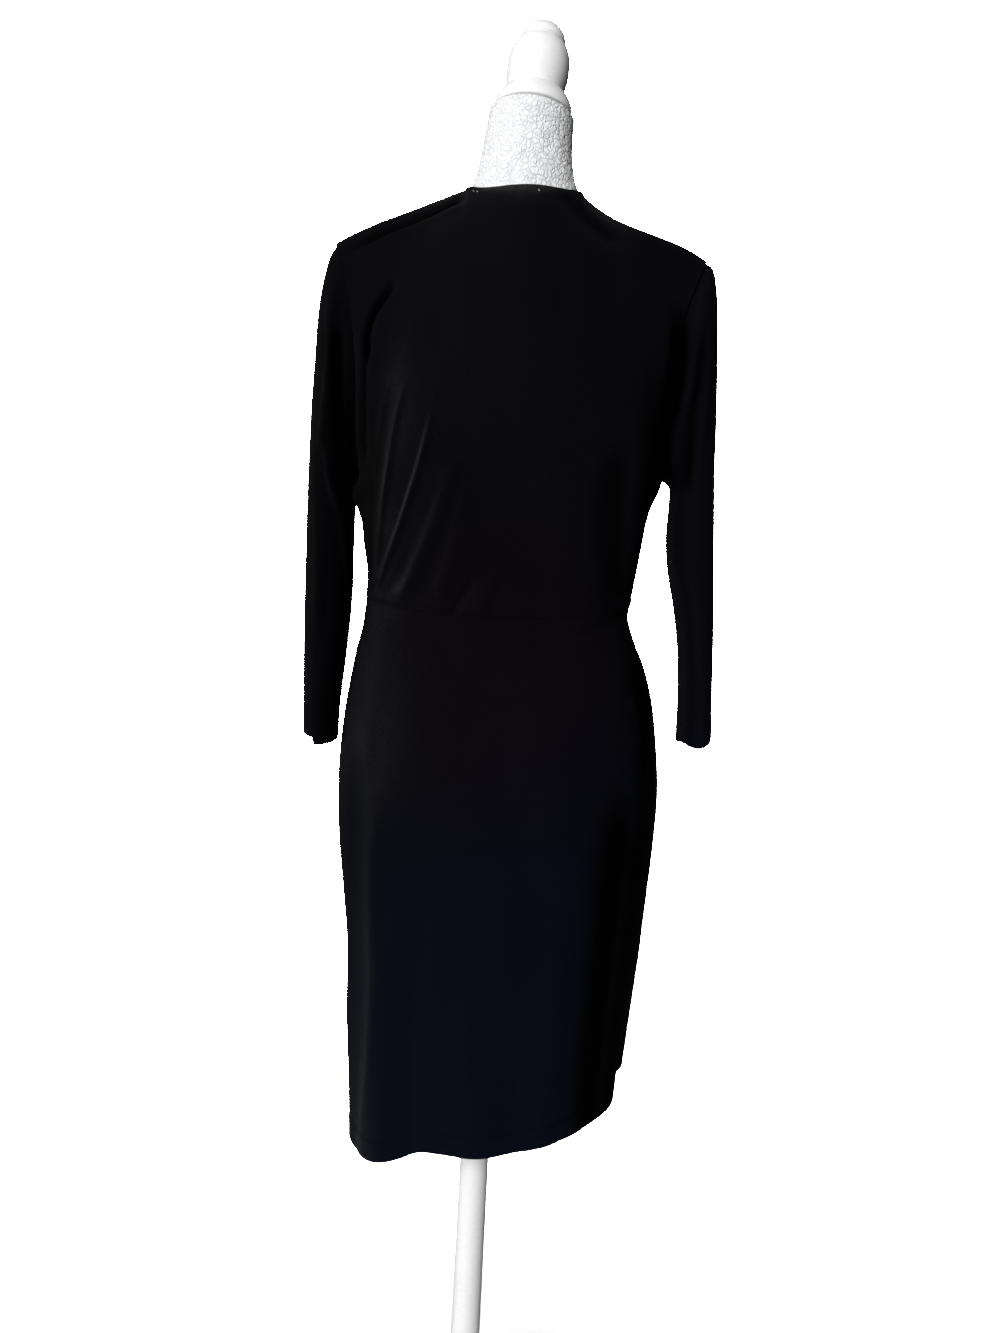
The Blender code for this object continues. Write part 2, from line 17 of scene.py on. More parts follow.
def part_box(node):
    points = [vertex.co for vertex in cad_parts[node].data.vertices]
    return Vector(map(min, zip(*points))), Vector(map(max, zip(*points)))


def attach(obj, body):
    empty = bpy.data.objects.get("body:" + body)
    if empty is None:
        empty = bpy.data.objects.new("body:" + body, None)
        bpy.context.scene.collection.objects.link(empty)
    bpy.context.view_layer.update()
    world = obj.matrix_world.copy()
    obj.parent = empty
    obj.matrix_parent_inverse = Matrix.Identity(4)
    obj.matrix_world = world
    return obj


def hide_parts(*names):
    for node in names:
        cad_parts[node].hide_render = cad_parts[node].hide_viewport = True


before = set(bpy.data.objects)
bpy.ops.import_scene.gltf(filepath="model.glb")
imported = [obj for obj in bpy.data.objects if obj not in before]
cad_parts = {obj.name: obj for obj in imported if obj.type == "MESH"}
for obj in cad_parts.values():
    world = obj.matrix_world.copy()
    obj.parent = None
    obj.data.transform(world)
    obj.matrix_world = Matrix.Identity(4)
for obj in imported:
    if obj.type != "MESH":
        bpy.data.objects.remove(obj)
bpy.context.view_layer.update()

MM = 0.001


def table(columns, *rows):
    """Rows with named columns. What a row leaves out at its end is 0."""
    Row = namedtuple("Row", columns, defaults=[0] * len(columns.split()))
    return [Row(*row) for row in rows]


Fold = namedtuple("Fold", "face width height lean places")
Fabric = namedtuple("Fabric", "jersey thread tack")


def folds(face, *rows):
    """Folds of one face, from rows of a width, a height, a lean and then the places."""
    return [Fold(face, *row[:3], row[3:]) for row in rows]


# --- cloth ---
WALL = 1.0  # thickness that shows
SEAM = 0.06  # gap between two sewn pieces
SHOULDER_GAP = 1.3  # the same at the shoulder seams, where the walls lean to each other
LAYER = 2.2  # how far the under layer of the bodice lies inside the over layer
SKIRT_LAYER = 3.6  # the same on the skirt, which hangs looser
SEAM_JOIN = 18  # but they come together over this many degrees before a side seam
SHOULDER_JOIN = 0.6  # and over this share of the yoke's height before the shoulder seam
ROUNDNESS = 2.3  # exponent of the body's horizontal sections
YOKE_FOOT_SQUARE = 1.7  # how much squarer the yoke's back is than its table says, at its foot
YOKE_TOP_SQUARE = 0.5  # and at its top
BACK, FRONT = 1, -1  # the two faces, by the sign of their Y
COLUMN = {BACK: "back", FRONT: "front"}  # and their columns in the tables
# A value for each side is kept under 1 for the wearer's left and -1 for the right.

SEAM_TURN = {"seam": 0.5, "waist": 0.15}  # how deep a sewn edge turns in
SEAM_SOFT = 1.3  # and over what distance
EDGE_TURN = 0.5  # the same on a hem's free edge
EDGE_SOFT = 1.2
HEM_RAISE = 0.35  # a turned hem stands this much proud
HEM_STEP = 1.6  # distance over which its inner edge sinks back
HEMS = {"skirt": 22, "cuff": 20, "neck": 7, "wrap": 9}  # widths of the turned hems
STITCH_IN = 2.0  # the stitch line lies this far from the hem's inner edge
STITCH_DEEP = 0.3
STITCH_WIDE = 0.7
STITCH_PITCH = 3.2
STITCH_LONG = 2.5
STITCH_THICK = 0.34
TACKS = [(50.5, 1389), (46.5, 1389), (-16, 1386)]  # white ones left at the back of the neck
TACK_LONG = 1.4
TACK_THICK = 0.5

# What each piece was cut to: its greatest width and length, and how much of that it fills.
CUTS = table(
    "piece wide long share",
    ("bodice_back", 470, 495, 0.76),
    ("bodice_front_right", 330, 545, 0.48),
    ("bodice_front_left", 325, 530, 0.49),
    ("skirt_back", 485, 560, 0.84),
    ("skirt_front_right", 355, 535, 0.89),
    ("skirt_front_left", 295, 560, 0.89),
    ("sleeve_left", 610, 510, 0.34),
    ("sleeve_right", 575, 500, 0.36),
)

# --- levels of the dress ---
WAIST_Z = 987  # waist seam at the side seams
WAIST_DIP = {BACK: 21, FRONT: 4}  # how far the seam drops at the middle of each face
WAIST_ROLL = 0.5  # the bodice blouses this far over the seam
WAIST_ROLL_MORE = 0.4  # and this much further at the sides
WAIST_ROLL_AT = 0.05  # share of the way up to the underarm where it does
UNDERARM_LOCAL = 8  # the flare at the underarm fades by this much towards the middle
UNDERARM_OVER = 28  # and over this height
UNDERARM_Z = 1108
UNDERARM_TILT = 17  # the left underarm hangs this much lower, the right this much higher
SHOULDER_X = 192  # end of the dropped shoulder
SHOULDER_Z = 1350
SHOULDER_SAG = {1: 1, -1: 9.4}  # the seam hangs this much under a straight line
SHOULDER_RISE = {1: 3.4, -1: 5}  # and rises this much over it nearer to the sleeve
NECK_POINT_Z = 1413  # where the shoulder seam meets the neckline
NECK_ANGLE = 15  # the section angle, in degrees, at which the shoulder seam ends
NECK_BACK_Z = 1399
NECK_TILT = 0.06  # the back neckline rises this much towards the right side
NECK_BACK_Y = 53  # how far back the neckline's middle lies
SHOULDER_ROUND = 2.2  # exponent of the yoke's turn into the shoulder seam
ARMHOLE_REACH = {BACK: 66, FRONT: 60}
ARMHOLE_BOW = 9  # how far the armhole curves in between underarm and shoulder
ARMHOLE_SQUARE = 0.45  # exponent of its reach: the smaller, the squarer its ends
ARMHOLE_SINK = {BACK: 9, FRONT: 5}  # the hollow between body and sleeve
ARMHOLE_SINK_AT = 0.27  # share of the armhole's height where it is deepest
ARMHOLE_SINK_OVER = 0.2
ARMHOLE_LOCAL = 3  # how much more the armhole keeps to itself at the underarm
FLARE_FROM = 0.45  # share of the yoke's height from which it runs smoothly into the sleeve
FLARE_OVER = 0.35
NECK_LOCAL = 0.8  # share from which the yoke follows the neckline's corners
NECK_SOFT = 8  # how round those corners are below it
NECK_SLOPE = 0.55  # slope of the shoulder line where it is carried on past the neck point
NECK_FALL = 1.4  # how fast the back's depth falls off beside the neck
NECK_SHAPE = 2.4  # exponent of the back neckline's rise to the neck points
PEAK = 27 / 4  # brings the highest value of t * (1 - t)**2 to 1

# Sections of the body, from hem to underarm: reach from the middle to each side.
BODY = table(
    "z left right back front",
    (420, 131, 144, 96, 90),
    (490, 135, 147, 98, 91),
    (560, 140, 153, 101, 93),
    (630, 143, 159, 106, 96),
    (690, 150, 163, 112, 99),
    (750, 157, 166, 119, 102),
    (800, 159, 167, 122, 104),
    (850, 157, 163, 118, 104),
    (900, 152, 155, 106, 101),
    (930, 148, 146, 97, 98),
    (955, 143, 135, 89, 95),
    (975, 141, 129, 84, 93),
    (990, 140, 130, 84, 93),
    (1010, 140, 132, 87, 96),
    (1040, 145, 136, 94, 102),
    (1056, 147, 138, 98, 106),
    (1071, 152, 140, 101, 110),
    (1087, 160, 144, 104, 114),
    (1105, 162, 152, 107, 117),
    (1122, 162, 158, 109, 119),
    (1130, 162, 163, 110, 120),
)

# The exponent of the back's sections, where the cloth is drawn flat over the back.
FLATS = table(
    "z square",
    (420, 2.3),
    (620, 2.45),
    (740, 2.8),
    (860, 3.1),
    (960, 3.4),
    (1040, 4),
    (1130, 4),
)

# Above the underarm: share of the way to the top, reach at the middle, and how square it is.
YOKE = table(
    "share back front square",
    (0, 107.4, 117.4, 2.3),
    (0.15, 114, 125, 2),
    (0.3, 119, 123, 1.8),
    (0.5, 121, 112, 1.7),
    (0.7, 121, 103, 1.7),
    (1, 120, 97, 1.7),
)

# Hem height round the skirt, by section angle: -90 is the wearer's right side, 90 the left.
HEM = table(
    "angle back front",
    (-90, 517, 517),
    (-75, 501, 507),
    (-60, 484, 498),
    (-45, 469, 491),
    (-30, 467, 484),
    (-15, 459, 476),
    (0, 453, 468),
    (10, 452, 463),
    (20, 450, 458),
    (30, 441, 452),
    (45, 433, 444),
    (60, 432, 437),
    (75, 430, 431),
    (90, 428, 428),
)

# Flutes of the skirt: height at the hem, fading out towards the top level.
FLUTE_FOOT_Z = 440  # level where the flutes are full
FLUTES = table(
    "face angle width height top",
    (BACK, 41, 10, 8, 820),
    (BACK, 0, 9, 6, 820),
    (BACK, -23, 8, 5, 760),
    (BACK, -62, 9, 2.5, 640),
    (BACK, -76, 6, -17, 640),
    (FRONT, -66, 11, 5, 760),
    (FRONT, -34, 10, -5, 700),
    (FRONT, -6, 11, 6, 780),
    (FRONT, 26, 9, -4, 680),
    (FRONT, 52, 11, 6, 760),
    # Smaller ones between them.
    (BACK, 24, 6, -2.5, 820),
    (FRONT, -50, 5, 1.8, 700),
    (FRONT, 10, 6, -2.2, 760),
    (FRONT, 40, 5, 2.0, 860),
    (FRONT, 70, 6, -2.2, 720),
)

# Folds of the cloth, each along a curve through a few places seen from behind or ahead. Its
# two flanks are alike where lean is 0. A lean to 1 makes the one towards +X the sharper one.
FOLDS = folds(
    BACK,
    # Drawn to the wearer's left side of the waist: sharp ridges with hollows between them.
    (2.9, 2.1, 0.3, (73, 1172), (84, 1118), (95.5, 1076), (109, 1034), (127, 985)),
    (3, 1.8, 0.3, (102, 1194), (112, 1145), (117, 1102), (121.5, 1064), (127, 1003)),
    (8, 2.5, 0.1, (53, 1128), (65, 1068), (79, 1030), (92, 998), (103, 979)),
    (6, 1, 0.2, (40, 1100), (50, 1040), (64, 992)),
    (8, 1, 0.2, (34, 1060), (46, 1022), (62, 984)),
    (4.5, -1.7, 0.2, (28, 1008), (37, 990), (48, 971)),
    (7, 0.8, 0, (4, 1024), (13, 996), (26, 973)),
    (5, -0.6, 0, (-2, 1010), (6, 990), (12, 970)),
    # Beside the left armhole: a deep crease with a lit ridge on each side.
    (4.2, -6, 0.2, (118, 1292), (136, 1266), (145, 1243), (147, 1212)),
    (2.7, -4, 0.2, (147, 1236), (147.5, 1205), (146, 1165), (142, 1115)),
    (4.2, 0.9, 0.2, (116, 1280), (131, 1258), (138, 1234), (139, 1200), (137, 1160), (133, 1112)),
    (5, 1.3, 0.2, (168, 1284), (161, 1240), (155, 1200), (152, 1160), (149, 1130)),
    (3.5, 2.2, 0, (168, 1098), (159, 1089), (149, 1076)),
    # Beside the right armhole and down to the waist.
    (9, -9, -0.2, (-160, 1292), (-161, 1240), (-158, 1198), (-152, 1158), (-147, 1118)),
    (6, 2, 0, (-146, 1280), (-147, 1225), (-141, 1170), (-136, 1130)),
    (5, -1.8, 0, (-132, 1215), (-136, 1165), (-131, 1120)),
    (12, -4.5, 0, (-104, 1150), (-103, 1085), (-107, 1040), (-114, 990)),
    (8, 1.6, 0, (-124, 1120), (-120, 1060), (-124, 1000)),
    (9, 1.4, 0, (-82, 1130), (-80, 1070), (-88, 1000)),
    # Under the left shoulder seam, and across the back of the neck.
    (5, -5, 0, (180, 1322), (142, 1347), (112, 1359), (82, 1373), (64, 1384)),
    (5, 1.2, 0, (150, 1332), (118, 1346), (86, 1360), (64, 1371)),
    (10, -2.8, 0, (-36, 1396), (-50, 1376), (-72, 1356), (-92, 1344)),
    (7, -1, 0, (-120, 1362), (-96, 1372), (-72, 1382)),
    # Down the limp sleeves.
    (6, 5, 0.2, (188, 1300), (184, 1225), (186, 1165), (188, 1130)),
    (4, 5, 0.3, (186, 1140), (179, 1095), (169, 1058), (162, 1018), (157, 985)),
    (10, -10, 0, (180, 1262), (176, 1215), (172, 1170), (166, 1130), (158, 1092)),
    (5, 1.8, 0, (196, 1180), (196, 1120), (190, 1050), (186, 960)),
    (6, -1.6, 0, (178, 1040), (176, 980), (180, 900)),
    (6, 5, 0.2, (-182, 1296), (-173, 1225), (-170, 1190), (-165, 1160), (-163, 1110)),
    (5, -5, 0, (-186, 1262), (-182, 1211), (-178, 1175), (-176, 1110)),
    (5, 2.2, 0, (-191, 1280), (-191, 1220), (-188, 1160), (-186, 1090)),
    (7, -1.6, 0, (-196, 1060), (-200, 990), (-206, 900)),
    (7, 1.6, 0, (-182, 1060), (-188, 990), (-196, 920)),
    # Just under the waist seam at the right, and the small wrinkles on that hip.
    (4, -2.4, 0, (-72, 957), (-90, 963), (-104, 966), (-116, 974), (-128, 983)),
    (5, 1.6, 0, (-78, 948), (-98, 954), (-118, 964)),
    (3.5, -3, 0.2, (-126, 928), (-134, 904), (-139, 880)),
    (3.5, -3, 0.2, (-134, 892), (-142, 866), (-141, 836)),
    (4, 2.4, 0, (-126, 902), (-134, 874), (-134, 845)),
    (10, 1.2, 0, (112, 968), (120, 900), (126, 820)),
    # The soft fold that falls from the left hip to the hem.
    (8, 2.9, 0.1, (113, 800), (110.5, 720), (104.5, 600), (104.5, 530), (108, 480), (109, 400)),
    # The hollow down its right side.
    (17, -8, 0, (-126, 830), (-122, 740), (-117, 640), (-112, 540), (-108, 400)),
) + folds(
    FRONT,
    # The gathers of the wrap, drawn to the same place in front.
    (7, 4.4, 0.3, (2, 1118), (30, 1080), (56, 1048), (90, 1014), (120, 994)),
    (5, -2, 0, (-16, 1106), (24, 1058), (66, 1018), (112, 990)),
    (8, 4.2, 0.3, (-40, 1094), (-6, 1060), (34, 1026), (72, 1002), (106, 989)),
    (5, -2.2, 0, (-52, 1074), (-8, 1034), (40, 1006), (92, 987)),
    (8, 3.6, 0.3, (-88, 1070), (-48, 1036), (0, 1008), (46, 993), (92, 986)),
    (5, -1.8, 0, (-92, 1044), (-46, 1012), (10, 994), (64, 985)),
    (7, 2.2, 0.2, (-122, 1040), (-76, 1012), (-24, 992), (30, 985)),
    (9, 1.8, 0, (-60, 1150), (-20, 1118), (14, 1085), (44, 1052)),
    (5, -1.4, 0, (-120, 1012), (-84, 1000), (-40, 988)),
    # Soft drags from each side of the neck to the bust, one on the layer underneath.
    (9, 1.8, 0, (-64, 1352), (-52, 1290), (-34, 1220)),
    (9, -1.4, 0, (-84, 1340), (-76, 1270), (-62, 1200)),
    (8, -1.6, 0, (66, 1330), (54, 1260), (40, 1195)),
    (8, -1.8, 0, (110, 1120), (92, 1060), (104, 1005)),
    # Beside the armholes and down the sleeves in front.
    (7, -5, 0.2, (140, 1285), (150, 1215), (146, 1135)),
    (5, 2, 0, (128, 1270), (138, 1205), (134, 1135)),
    (7, -5, -0.2, (-140, 1285), (-150, 1215), (-146, 1145)),
    (5, 2, 0, (-128, 1275), (-138, 1210), (-134, 1140)),
    (6, 4.2, 0.2, (188, 1292), (181, 1200), (179, 1120), (176, 1050)),
    (6, -3, 0, (178, 1240), (171, 1180), (168, 1110)),
    (5, 2, 0, (194, 1180), (192, 1080), (186, 980)),
    (6, 4.2, -0.2, (-188, 1292), (-180, 1200), (-181, 1120), (-183, 1050)),
    (6, -3, 0, (-178, 1240), (-172, 1180), (-171, 1110)),
    (5, 2, 0, (-196, 1180), (-198, 1080), (-204, 980)),
    # Falling from the wrap's gathers over the skirt's front.
    (8, 2.6, 0.2, (112, 976), (104, 915), (90, 830), (82, 740)),
    (6, -2, 0, (98, 976), (84, 905), (64, 820)),
    (9, 2.4, 0.2, (88, 978), (58, 915), (14, 838), (-16, 770)),
    (6, -1.8, 0, (66, 976), (30, 925), (-18, 868)),
    (9, 1.8, 0.2, (48, 978), (4, 940), (-56, 898)),
)
# Painted shade: bands where the cloth turns away into the dark without a hollow of its own.
PAINTED_SHADES = folds(
    BACK,
    (22, -7, 0, (-156, 860), (-152, 740), (-145, 630), (-138, 520), (-132, 380)),
    (16, -7, 0, (-168, 880), (-168, 740), (-160, 630), (-152, 520), (-146, 380)),
    (22, -9, 0, (-140, 985), (-150, 915), (-158, 855), (-160, 780), (-158, 720)),
    (
        8, -5, 0, (120, 1396), (60, 1403), (30, 1399), (0, 1398), (-30, 1400), (-60, 1404),
        (-120, 1400),
    ),
    (7, -4.5, 0, (116, 1215), (124, 1150), (128, 1100), (131, 1060), (136, 1000)),
    (14, -4.5, 0, (148, 1215), (146, 1120), (146, 1060), (146, 1000)),
    (7, -3, 0, (96, 1036), (104, 1010), (113, 994), (117, 984), (118, 972)),
    (30, -2.2, 0, (200, 1330), (196, 1200), (192, 1050), (186, 800)),
    (26, -2.6, 0, (-94, 1150), (-98, 1060), (-104, 990), (-106, 970)),
    (16, -6, 0, (-156, 1230), (-146, 1180), (-140, 1140), (-138, 1100), (-142, 1060)),
) + folds(
    FRONT,
    (22, -7, 0, (-156, 900), (-152, 740), (-145, 630), (-138, 520), (-132, 380)),
    (14, -7, 0, (-168, 900), (-168, 740), (-160, 630), (-152, 520), (-146, 380)),
)
FOLD_IN = 0.22  # share of a fold's length over which it rises
FOLD_OUT = 0.16  # the same where it fades, half of it past the end
FOLD_STEPS = 32
FOLD_REACH = 3.2  # a fold is worked out within this many widths of its line
CREASE_FROM = 2  # hollows deeper than this get painted shade
CREASE_FULL = 6  # and it is darkest at this depth
LIMP_FROM_X = 122  # the bodice is limp past this
LIMP_YOKE = 40  # and this much further in above its folds
LIMP_YOKE_Z = 1140
LIMP_SKIRT_X = 113  # the skirt is limp past this
LIMP_OVER = 12  # width over which it turns limp
LIMP_FROM_Z = 760  # and half limp above this
LIMP_HALF = 0.4
LIMP_UP = 130  # height over which each of these comes in
SEAM_FADE = 9  # folds and flutes die out this many degrees before a side seam
TOP_FADE = 0.03  # and this share of the height before the shoulder seam
WAIST_FADE = 0.01  # the same under the waist seam

# Long soft waves that keep the cloth from lying perfectly smooth: lengths across and up.
RIPPLES = table(
    "across up height phase",
    (61, -273, 0.16, 0.4),
    (-97, 239, 0.3, 2.1),
    (38, 221, 0.07, 1.2),
)

# Free edge of each front bodice: how far past the middle it is at each share of the height.
# Heights 0 to 1 run from waist seam to underarm, 1 to 2 from underarm to the neck point.
WRAP_EDGE = table(
    "height angle",
    (0, 68),
    (0.3, 40),
    (0.6, 21),
    (1, 7),
    (1.35, -3),
    (1.65, -9),
    (2, -NECK_ANGLE),
)
SKIRT_OVER_END = 48  # section angle where the over layer of the skirt ends, left of the middle
SKIRT_UNDER_END = -28
CORNER_RISE = 34  # the rounded lower corner of the over layer
CORNER_SHARE = 0.16  # share of the layer's width that the corner takes

# Rings of the sleeves: the outer and inner end of each ring on either side, its reach back
# and front, how far its middle bows in, and how its wide way turns from fore-and-aft.
SLEEVE = table(
    "out_z in_z left_out left_in right_out right_in back front bow twist",
    (1337, 1091, 198, 163, 197.5, 164.5, 67, 61, 12, 0),
    (1312, 1090, 203, 163, 202, 166, 67, 60, 8, 0),
    (1278, 1088, 206, 162.5, 204, 168, 65, 58, 4, 0),
    (1230, 1085, 208, 162, 206, 170, 61, 55, 2, 0.02),
    (1182, 1079, 210, 161.5, 208, 171, 57, 52, 0, 0.04),
    (1132, 1068, 210.5, 161, 209.5, 171.5, 54, 50, 0, 0.06),
    (1080, 1048, 210, 160.5, 212, 169.5, 52, 49, 0, 0.07),
    (1030, 1020, 208.5, 159.5, 214, 172.5, 51, 48, 0, 0.08),
    (980, 976, 207, 159, 216, 182.5, 50, 47, 0, 0.09),
    (930, 930, 205.5, 162, 217.5, 189, 49, 46, 0, 0.1),
    (880, 882, 203.5, 166, 219, 191.5, 48, 46, 0, 0.11),
    (842, 843, 202, 167, 220.5, 192.5, 48, 46, 0, 0.12),
)
CUFF_DROP = {1: 7.5, -1: -17}  # how much lower the cuff of each side hangs
SLEEVE_TURN = {1: 1.0, -1: 0.1}  # share of the rings' twist on each side
ELBOW_Z = 1060
FOREARM = 200  # length below the elbow over which the drop comes in
TILT_LOW_Z = 900  # the sleeves follow the underarm's tilt from here up
TILT_HIGH_Z = 1200
SLEEVE_ROUND = {1: 0.9, -1: 0.55}  # exponent of a ring's reach: the smaller, the flatter its ends
SLEEVE_FLAT = 0.7  # exponent of the folds' fall towards a ring's two ends
SLEEVE_HEAD = 20  # drop from the shoulder over which the sleeve's folds come in
SLEEVE_TUCK = 1.5  # the first ring lies this far under the armhole's edge
SLEEVE_SUNK = 0.4  # and this far under its face
CUFF_BELLY = {1: 3, -1: 7}  # the cuff's back and front hang this much lower than its sides
CUFF_TILT = {1: 0, -1: 9}  # and its inner end this much lower than the outer one
CUFF_STEP = {1: 7, -1: 0}  # the outer part past a share of the ring is drawn up this much
CUFF_STEP_AT = 0.6
CUFF_STEP_OVER = 0.08

# --- how many points the cloth has, across and up, and where more are put in ---
BODICE_POINTS = {BACK: (195, 205), FRONT: (104, 190)}
SKIRT_POINTS = (150, 175)
SKIRT_OVER_POINTS = 105
SKIRT_UNDER_POINTS = 90
SLEEVE_POINTS = (132, 170)  # round it and down it
CLOSE = (0.001, 0.003)  # shares of the way from an edge
BODICE_CLOSE = (0.0008, 0.0018, 0.0034)
SKIRT_CLOSE = (0.001, 0.0025)
CUFF_CLOSE = (0.0004, 0.0012, 0.0025)
FOLDS_ROUND = {"bodice": (44, 22), "skirt": (55, 16)}  # and round this angle, over this width

# --- dress form ---
# Its sections: half the width, reach back and front, squareness, slope and shift to the side.
FORM = table(
    "z side back front square rise middle",
    (700, 116, 66, 62, 2.2),
    (704, 129, 82, 74, 2.2),
    (716, 139, 96, 82, 2.2),
    (745, 147, 108, 89, 2.2),
    (790, 150, 115, 94, 2.2),
    (830, 149, 113, 95, 2.2),
    (870, 143, 102, 93, 2.2),
    (920, 131, 86, 87, 2.2),
    (965, 122, 76, 83, 2.2),
    (1000, 121, 76, 84, 2.2),
    (1040, 126, 84, 91, 2.2),
    (1080, 133, 95, 102, 2.2),
    (1120, 140, 104, 112, 2.2),
    (1160, 145, 109, 116, 2.1),
    (1200, 148, 111, 110, 2),
    (1240, 153, 110, 100, 2),
    (1280, 160, 105, 90, 1.85),
    (1315, 166, 95, 78, 1.7),
    (1340, 169, 84, 66, 1.55),
    (1356, 165, 73, 54, 1.45),
    (1370, 133, 64, 47, 1.45),
    (1384, 101, 56, 43, 1.5),
    (1396, 77, 48, 42, 1.55),
    (1405, 64, 45, 41, 1.65),
    (1413, 58.4, 44, 40.5, 1.75),
    (1422, 55.5, 43.3, 40.2, 1.85),
    (1432, 52, 42.8, 40.5, 1.95),
    (1445, 49.5, 42.5, 41, 2),
    (1470, 46.5, 43, 43, 2, 0.03, -1),
    (1497, 45, 43, 43, 2, 0.079, -3),
)
FORM_POINTS = 192
FORM_LEVELS = {*range(704, 1384, 10), *range(1384, 1498)}  # the neck's are closer
CRINKLE_FROM_Z = 1405  # the cover's crinkles are modelled where it shows
CRINKLE_DEEP = 0.55
CRINKLE_SIZE = 7.0
CRINKLE_KIND = (0.9, 2.1, 4, 1.0, 2.0)  # roughness, step, octaves, offset and gain of the noise
CRINKLE_MEAN = 1.2
CRINKLE_TO_Z = 1497

CAP_LEAN = 4.5  # degrees to the wearer's right
KNOB_LEAN = 6.5
KNOB_TURN_AT = 43  # it leans about this height above its foot
CAP_SEAT = (-3.5, 0, 1497.2)  # the middle of the cap's foot
# Outlines of the turned pieces: radius and height, from the top down.
CAP_PROFILE = [
    (0, 27), (27, 27), (32, 24.4), (36.5, 19.6), (39.8, 13.6), (41.6, 7.6), (41.6, 3.6),
    (37.5, 2.4), (36.5, 0), (0, 0),
]
KNOB_PROFILE = [
    (0, 85.4), (7.5, 84.4), (14.5, 81.3), (19.6, 77), (23.0, 72), (24.3, 67), (24.0, 65.2),
    (22.3, 64.2), (25.2, 62.8), (27.6, 59.6), (29.9, 55), (31.7, 49), (32.7, 42), (33.0, 34),
    (32.3, 24), (29.8, 13), (27, 5), (25, 0), (0, 0),
]
KNOB_SEAT = 14.3  # height of the finial's foot above the cap's foot
POLE_RADIUS = 15
BASE_PROFILE = [
    (0, 5), (15.4, 5), (15.4, 46), (22, 46), (25, 43), (26, 34), (31, 26), (60, 20.5),
    (150, 14), (162, 11), (165, 7), (165, 2), (163, 0), (0, 0),
]
TURNED_STEPS = 128
CORNER_MOST = 0.45  # a rounded corner takes no more than this share of either line beside it
CORNER_POINTS = 6

# --- photograph's view ---
CAMERA_Y = 1050
CAMERA_Z = 920
CAMERA_ROLL = 3  # degrees
LENS = 27.0  # millimetres on a 36 mm long side

# --- lights, in metres ---
LIGHTS = table(
    "name place size power shiny",
    ("window", (3.0, 0.62, 1.35), 1.2, 22, True),
    ("fill", (1.2, 3.45, 1.9), 1.6, 185, False),
    ("front", (0.6, -2.7, 2.0), 1.8, 120, False),
)
LIGHTS_AIM = (0, 0, 1.0)
WORLD_SOFT = (0.01, 0.2)  # from the wearer's right, and from the left
WORLD_BEHIND = 40.0
FLOOR_RADIUS = 2.4
FLOOR_Z = -0.0004
FLOOR_FADE = (0.35, 1.5)
FLOOR_LIT = (0.22, 0.22, 0.22)  # as the other pieces see it
FLOOR_SEEN = (0.92, 0.92, 0.92)

# --- looks, with places in metres ---
JERSEY_HIGH = (0.0016, 0.0014, 0.0023)
JERSEY_LOW = (0.0011, 0.0017, 0.0052)
JERSEY_PLUM = (0.0022, 0.0010, 0.0021)
# Painted shade: the colour of the deepest hollows and of the shade bands.
JERSEY_PAINTED_SHADE = (0.00003, 0.00003, 0.00004)
JERSEY_LOW_OVER = (0.95, 0.5)
PLUM_Z = 0.915
PLUM_OVER = (0.19, 0.03)  # distance from that height, and from the middle below
PLUM_INSIDE = (0.13, 0.04)
PAINTED_SIDE_SHADING = (-0.2, 0.2, 1.55, 0.75)  # painted light and shade: the colour is lighter to the wearer's right, darker to the left
DULL = {"Specular_IOR_Level": 0.1}
JERSEY_ROUGH = (0.38, 0.44)
LIMP_ROUGH = 0.5  # how much rougher limp cloth and hollows look
MOTTLED = (0.3, 0.7)  # the part of a noise's range that is used
COVER_GREYS = (
    (0.3, (0.66, 0.665, 0.68)),
    (0.55, (0.77, 0.78, 0.785)),
    (0.75, (0.81, 0.815, 0.82)),
)
# painted shade in the cover's creases
COVER_CREASE_SHADE = (0.6, 0.605, 0.62)
PAINT_WHITES = ((0.3, (0.74, 0.74, 0.74)), (0.7, (0.81, 0.81, 0.805)))
PAINT_UNEVEN = 0.06
PAINT_STRETCH = (8, 8, 90)  # the brush marks run round the turned pieces


# --- curves and surfaces ---


def curve(values, slopes, i, t, span=1):
    """The smooth curve through some values, at t on the way from value i to the next."""
    start = values[i] * (2 * t**3 - 3 * t**2 + 1) + span * slopes[i] * (t**3 - 2 * t**2 + t)
    return start + values[i + 1] * (3 * t**2 - 2 * t**3) + span * slopes[i + 1] * (t**3 - t**2)


def through(value, rows, column):
    """The smooth curve through a table's column, at these values of its first column."""
    keys = np.array([row[0] for row in rows], float)
    heights = np.array([getattr(row, column) for row in rows], float)
    value = np.clip(value, keys[0], keys[-1])
    i = np.clip(np.searchsorted(keys, value) - 1, 0, len(keys) - 2)
    span = keys[i + 1] - keys[i]
    return curve(heights, np.gradient(heights, keys), i, (value - keys[i]) / span, span)


def mix(a, b, t):
    return a + (b - a) * t


def bell(distance, width):
    return np.exp(-((distance / width) ** 2))


def ease(t):
    t = np.clip(t, 0.0, 1.0)
    return t * t * (3 - 2 * t)


def together(x, y, z):
    return np.stack(np.broadcast_arrays(x, y, z), axis=-1).astype(float)


def reach_across(angle):
    """How far across a section this angle lies, from -1 at the right side to 1 at the left."""
    s = np.sin(np.radians(angle))
    return np.sign(s) * np.abs(s) ** (2 / ROUNDNESS)


def reach_out(angle, square=ROUNDNESS):
    """How far out the surface lies at this angle, from 0 at the sides to 1 at the middle."""
    return np.maximum(1 - np.abs(reach_across(angle)) ** square, 0.0) ** (1 / square)


NECK_X = SHOULDER_X * float(reach_across(NECK_ANGLE))


def side_of(angle):
    return np.where(np.asarray(angle) >= 0, 1, -1)


def reach_side(angle, z):
    return np.where(side_of(angle) > 0, through(z, BODY, "left"), through(z, BODY, "right"))


def waist_z(face, angle):
    return WAIST_Z - WAIST_DIP[face] * reach_out(angle)


